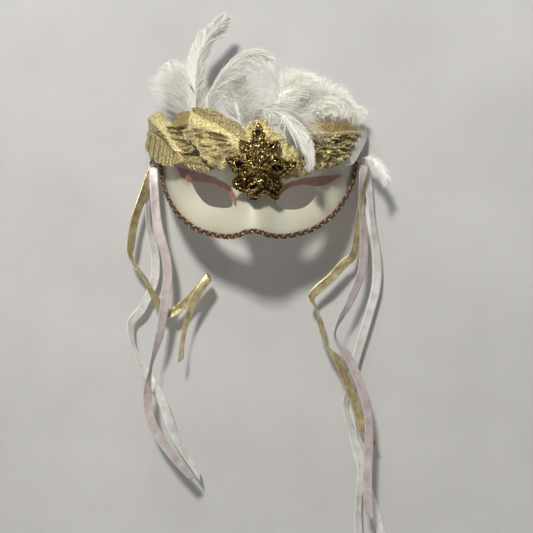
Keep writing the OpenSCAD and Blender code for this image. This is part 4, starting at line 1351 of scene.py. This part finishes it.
RIBBON_W, RIBBON_T = 7.0, 0.35
KNOT_X, KNOT_Y, KNOT_Z = 83.2, 35.0, -22.0

# Routes in mm: x, y, z and the turn of the ribbon about its own line, in degrees
ROUTES = {
    "gold_left": [
        (-84, 35, -25, 0), (-90, 34, -44, 30), (-97, 31, -66, 40), (-100.5, 31, -86, 40),
        (-100, 31, -98, 75), (-89, 31, -114, 75), (-80.5, 31, -130, 50), (-70, 32, -141, 10),
        (-56, 33, -131, 0), (-41, 33, -115, 0), (-38, 30.5, -112, 0), (-40, 28, -114.5, 180),
        (-49, 27, -129, 200), (-55.5, 28, -147, 240), (-59, 29, -163, 250), (-60.5, 29, -178, 240)],
    "pink_left": [
        (-83, 32.5, -25, 0), (-81, 27, -44, 20), (-78, 24, -70, 10), (-70, 24, -104, 10),
        (-72, 24, -130, 10), (-76, 24, -156, 30), (-83, 24, -182, 80), (-86, 24, -205, 30),
        (-82, 24, -227, 10), (-68, 24, -249, 40), (-50, 24, -269, 65)],
    "white_left": [
        (-83.5, 37.5, -25, 0), (-88, 38, -46, 50), (-88, 38, -70, 70), (-83, 38, -92, 30),
        (-83, 38, -114, 20), (-93, 38, -137, 0), (-102, 38, -150, 40), (-99, 38, -170, 75),
        (-89, 38, -190, 30), (-78, 38, -209, 10), (-66, 38, -240, 40), (-46, 38, -272, 75)],
    "gold_right": [
        (83, 35, -25, 0), (82, 33, -42, 40), (79, 31, -62, 60), (75, 31, -93, 30),
        (67, 31, -102, 10), (56, 31, -114, 0), (42.5, 31, -127, 30), (46, 31, -137, 80),
        (49.5, 31, -150, 50), (54, 31, -166, 75), (63, 31, -178, 30), (70, 31, -195, 20),
        (76, 31, -211, 10), (82, 31, -228, 10), (90.5, 31, -243, 50)],
    "pink_right": [
        (83.5, 32.5, -25, 0), (80, 26, -42, 60), (79, 24, -55, 80), (82, 24, -77, 30),
        (81, 24, -106, 20), (72, 24, -130, 30), (60, 24, -156, 75), (70, 24, -173, 20),
        (79, 24, -194, 10), (86, 24, -222, 20), (85, 24, -268, 0), (86, 24, -296, 10)],
    "white_right": [
        (84, 37.5, -25, 0), (87, 38, -44, 30), (90, 38, -70, 50), (93, 38, -95, 20),
        (93, 38, -118, 10), (87, 38, -142, 10), (78, 38, -173, 20), (70, 38, -205, 40),
        (69.5, 38, -218, 50), (76, 38, -241, 30), (81.5, 38, -262, 10), (79, 38, -288, 40),
        (78.5, 38, -305, 30), (80, 38, -326, 20)],
    "tail_right": [
        (83, 39.8, -25, 0), (86, 42, -48, 0), (90, 42, -75, 0), (93, 42, -98, 0),
        (92.5, 42, -120, 0), (86, 42, -147, 0), (77, 42, -178, 0), (72, 42, -208, 0),
        (75, 42, -238, 0), (81, 42, -262, 0), (87, 42, -281, 0), (93, 42, -301, 10),
        (99, 42, -322, 20)],
}


def strip(build, centre, across, width, camber=0.5, cut=0.0, cols=10):
    """A flat ribbon: a thin closed section swept along centre, its width along the across vectors."""
    t = directions(centre)
    across = unit(across - t * (across * t).sum(-1, keepdims=True))
    m = np.cross(across, t)
    u = np.linspace(-1, 1, cols)
    u = np.concatenate([u, u[::-1]])
    v = np.repeat([RIBBON_T / 2, -RIBBON_T / 2], cols) + camber * (1 - u**2) * 0.5
    v[[0, cols - 1, cols, -1]] *= 0.5
    n = len(centre)
    wide = u[None, :, None] * width / 2
    points = centre[:, None] + across[:, None] * wide + m[:, None] * v[None, :, None]
    if cut:
        tail = smoothstep(n - 8, n - 1, np.arange(n))[:, None, None]
        points = points + t[:, None] * (u[None, :, None] * cut * tail)
    far = np.concatenate([[0], np.cumsum(np.linalg.norm(np.diff(centre, axis=0), axis=1))])
    faces = grid_faces(n, 2 * cols, closed=True)
    faces += [list(range(2 * cols))[::-1], list(range((n - 1) * 2 * cols, n * 2 * cols))]
    build.add(
        points.reshape(-1, 3), faces,
        across=np.tile(np.abs(u), n), along=np.repeat(far, 2 * cols),
    )


def ribbon_frames(route, steps=12):
    """Centre line and width directions of a ribbon, the same at the route's points as in the CAD model."""
    rows = np.array(route, float)
    centre = rows[:, :3]
    ahead = unit(np.concatenate([centre[1:], centre[-1:]]) - np.concatenate([centre[:1], centre[:-1]]))
    w = unit(np.cross(ahead, np.array([0.0, 1.0, 0.0])))
    turn = np.radians(rows[:, 3])[:, None]
    across = w * np.cos(turn) + np.cross(w, ahead) * np.sin(turn)
    return spline(centre, steps), unit(spline(across, steps))


# Name, slot, length in metres, and how far its cut end slants in mm
RIBBONS = [
    ("gold_left", "gold_ribbon", 0.247, 1.5), ("pink_left", "pink_ribbon", 0.259, 2.5),
    ("white_left", "white_ribbon", 0.267, -2.5), ("gold_right", "gold_ribbon", 0.243, 3.0),
    ("pink_right", "pink_ribbon", 0.284, 3.0), ("white_right", "white_ribbon", 0.307, -1.5),
    ("tail_right", "white_ribbon", 0.304, 1.5),
]


def make_ribbon(name, slot, shader, cut):
    centre, across = ribbon_frames(ROUTES[name])
    build = Build()
    strip(build, centre, across, RIBBON_W, cut=cut)
    piece = build.piece(name + "_satin", name + "_ribbon", slot, shader, ["ribbon_" + name])


def make_knot(where, side, shader):
    """A knot of three narrow wraps of ribbon."""
    build = Build()
    centre = np.array([side * KNOT_X, KNOT_Y, KNOT_Z])
    a = np.linspace(0, 2 * math.pi, 37)
    for tilt, shift, size in ((0.25, -2.0, 2.5), (-0.3, 0.2, 2.9), (0.1, 2.2, 2.5)):
        ring = np.stack([np.cos(a) * size, shift + tilt * 1.6 * np.sin(a), np.sin(a) * size * 0.95], -1)
        across = np.broadcast_to(np.array([0.15 * tilt, 1.0, tilt * 0.4]), ring.shape)
        strip(build, centre + ring, across, 2.6, camber=0.7, cols=7)
    build.piece(f"knot_{where}_wraps", "tie_" + where, "pink_ribbon", shader, ["knot_" + where])


# ---------------------------------------------------------------- make everything

make_camera()
satin = {
    "gold_ribbon": ribbon_shader("gold_ribbon", (0.40, 0.31, 0.15), (0.84, 0.73, 0.43), 0.8, 0.33, 0.6),
    "pink_ribbon": ribbon_shader("pink_ribbon", (0.43, 0.365, 0.355), (0.62, 0.545, 0.53), 0.25, 0.48),
    "white_ribbon": ribbon_shader("white_ribbon", (0.60, 0.60, 0.56), (0.84, 0.84, 0.80), 0.25, 0.45),
}
for ribbon, slot, length, cut in RIBBONS:
    make_ribbon(ribbon, slot, satin[slot], cut)
make_knot("left", -1, satin["pink_ribbon"])
make_knot("right", 1, satin["pink_ribbon"])

make_shell(shell_shader())
make_braid(
    thread_shader("gold_thread", (0.10, 0.06, 0.02), (0.80, 0.62, 0.32), 0.8, 0.3),
    thread_shader("wine_thread", (0.03, 0.012, 0.012), (0.15, 0.05, 0.06), 0.2, 0.5),
)
make_leaves(foil_shader(), cream_leaf_shader())
make_glitter_leaf(glitter_shader())
make_plumes(
    feather_shader("white_feather", (0.46, 0.45, 0.40), (0.83, 0.83, 0.77)),
    feather_shader("white_down", (0.60, 0.59, 0.53), (0.94, 0.94, 0.87)),
    quill_shader(),
)
make_quill_pad(felt_shader())

stage_plane(
    "wall",
    [(x * WALL_HALF, WALL_Y, z) for x, z in ((-1, FLOOR_Z), (1, FLOOR_Z), (1, WALL_TOP), (-1, WALL_TOP))],
    wall_shader(),
).visible_shadow = False
stage_plane(
    "floor",
    [(x * FLOOR_HALF, y * FLOOR_HALF, FLOOR_Z) for x, y in ((-1, -1), (1, -1), (1, 1), (-1, 1))],
    plain_shader("pale_floor", (0.52, 0.515, 0.51), (0.58, 0.575, 0.57), 200).material,
)
area_light("key", -11, 37, 1.5, 0.2, 21, (1.0, 0.975, 0.93))
area_light("sky", -10, 68, 1.2, 1.0, 5, (0.95, 0.97, 1.0))
area_light("behind", 190, 35, 1.4, 0.8, 6, (1.0, 1.0, 1.0))
world = bpy.data.worlds.new("studio")
world.use_nodes = True
world.node_tree.nodes["Background"].inputs["Color"].default_value = WORLD_COLOUR
world.node_tree.nodes["Background"].inputs["Strength"].default_value = WORLD_STRENGTH
bpy.context.scene.world = world
bpy.context.scene.view_settings.view_transform = "Standard"
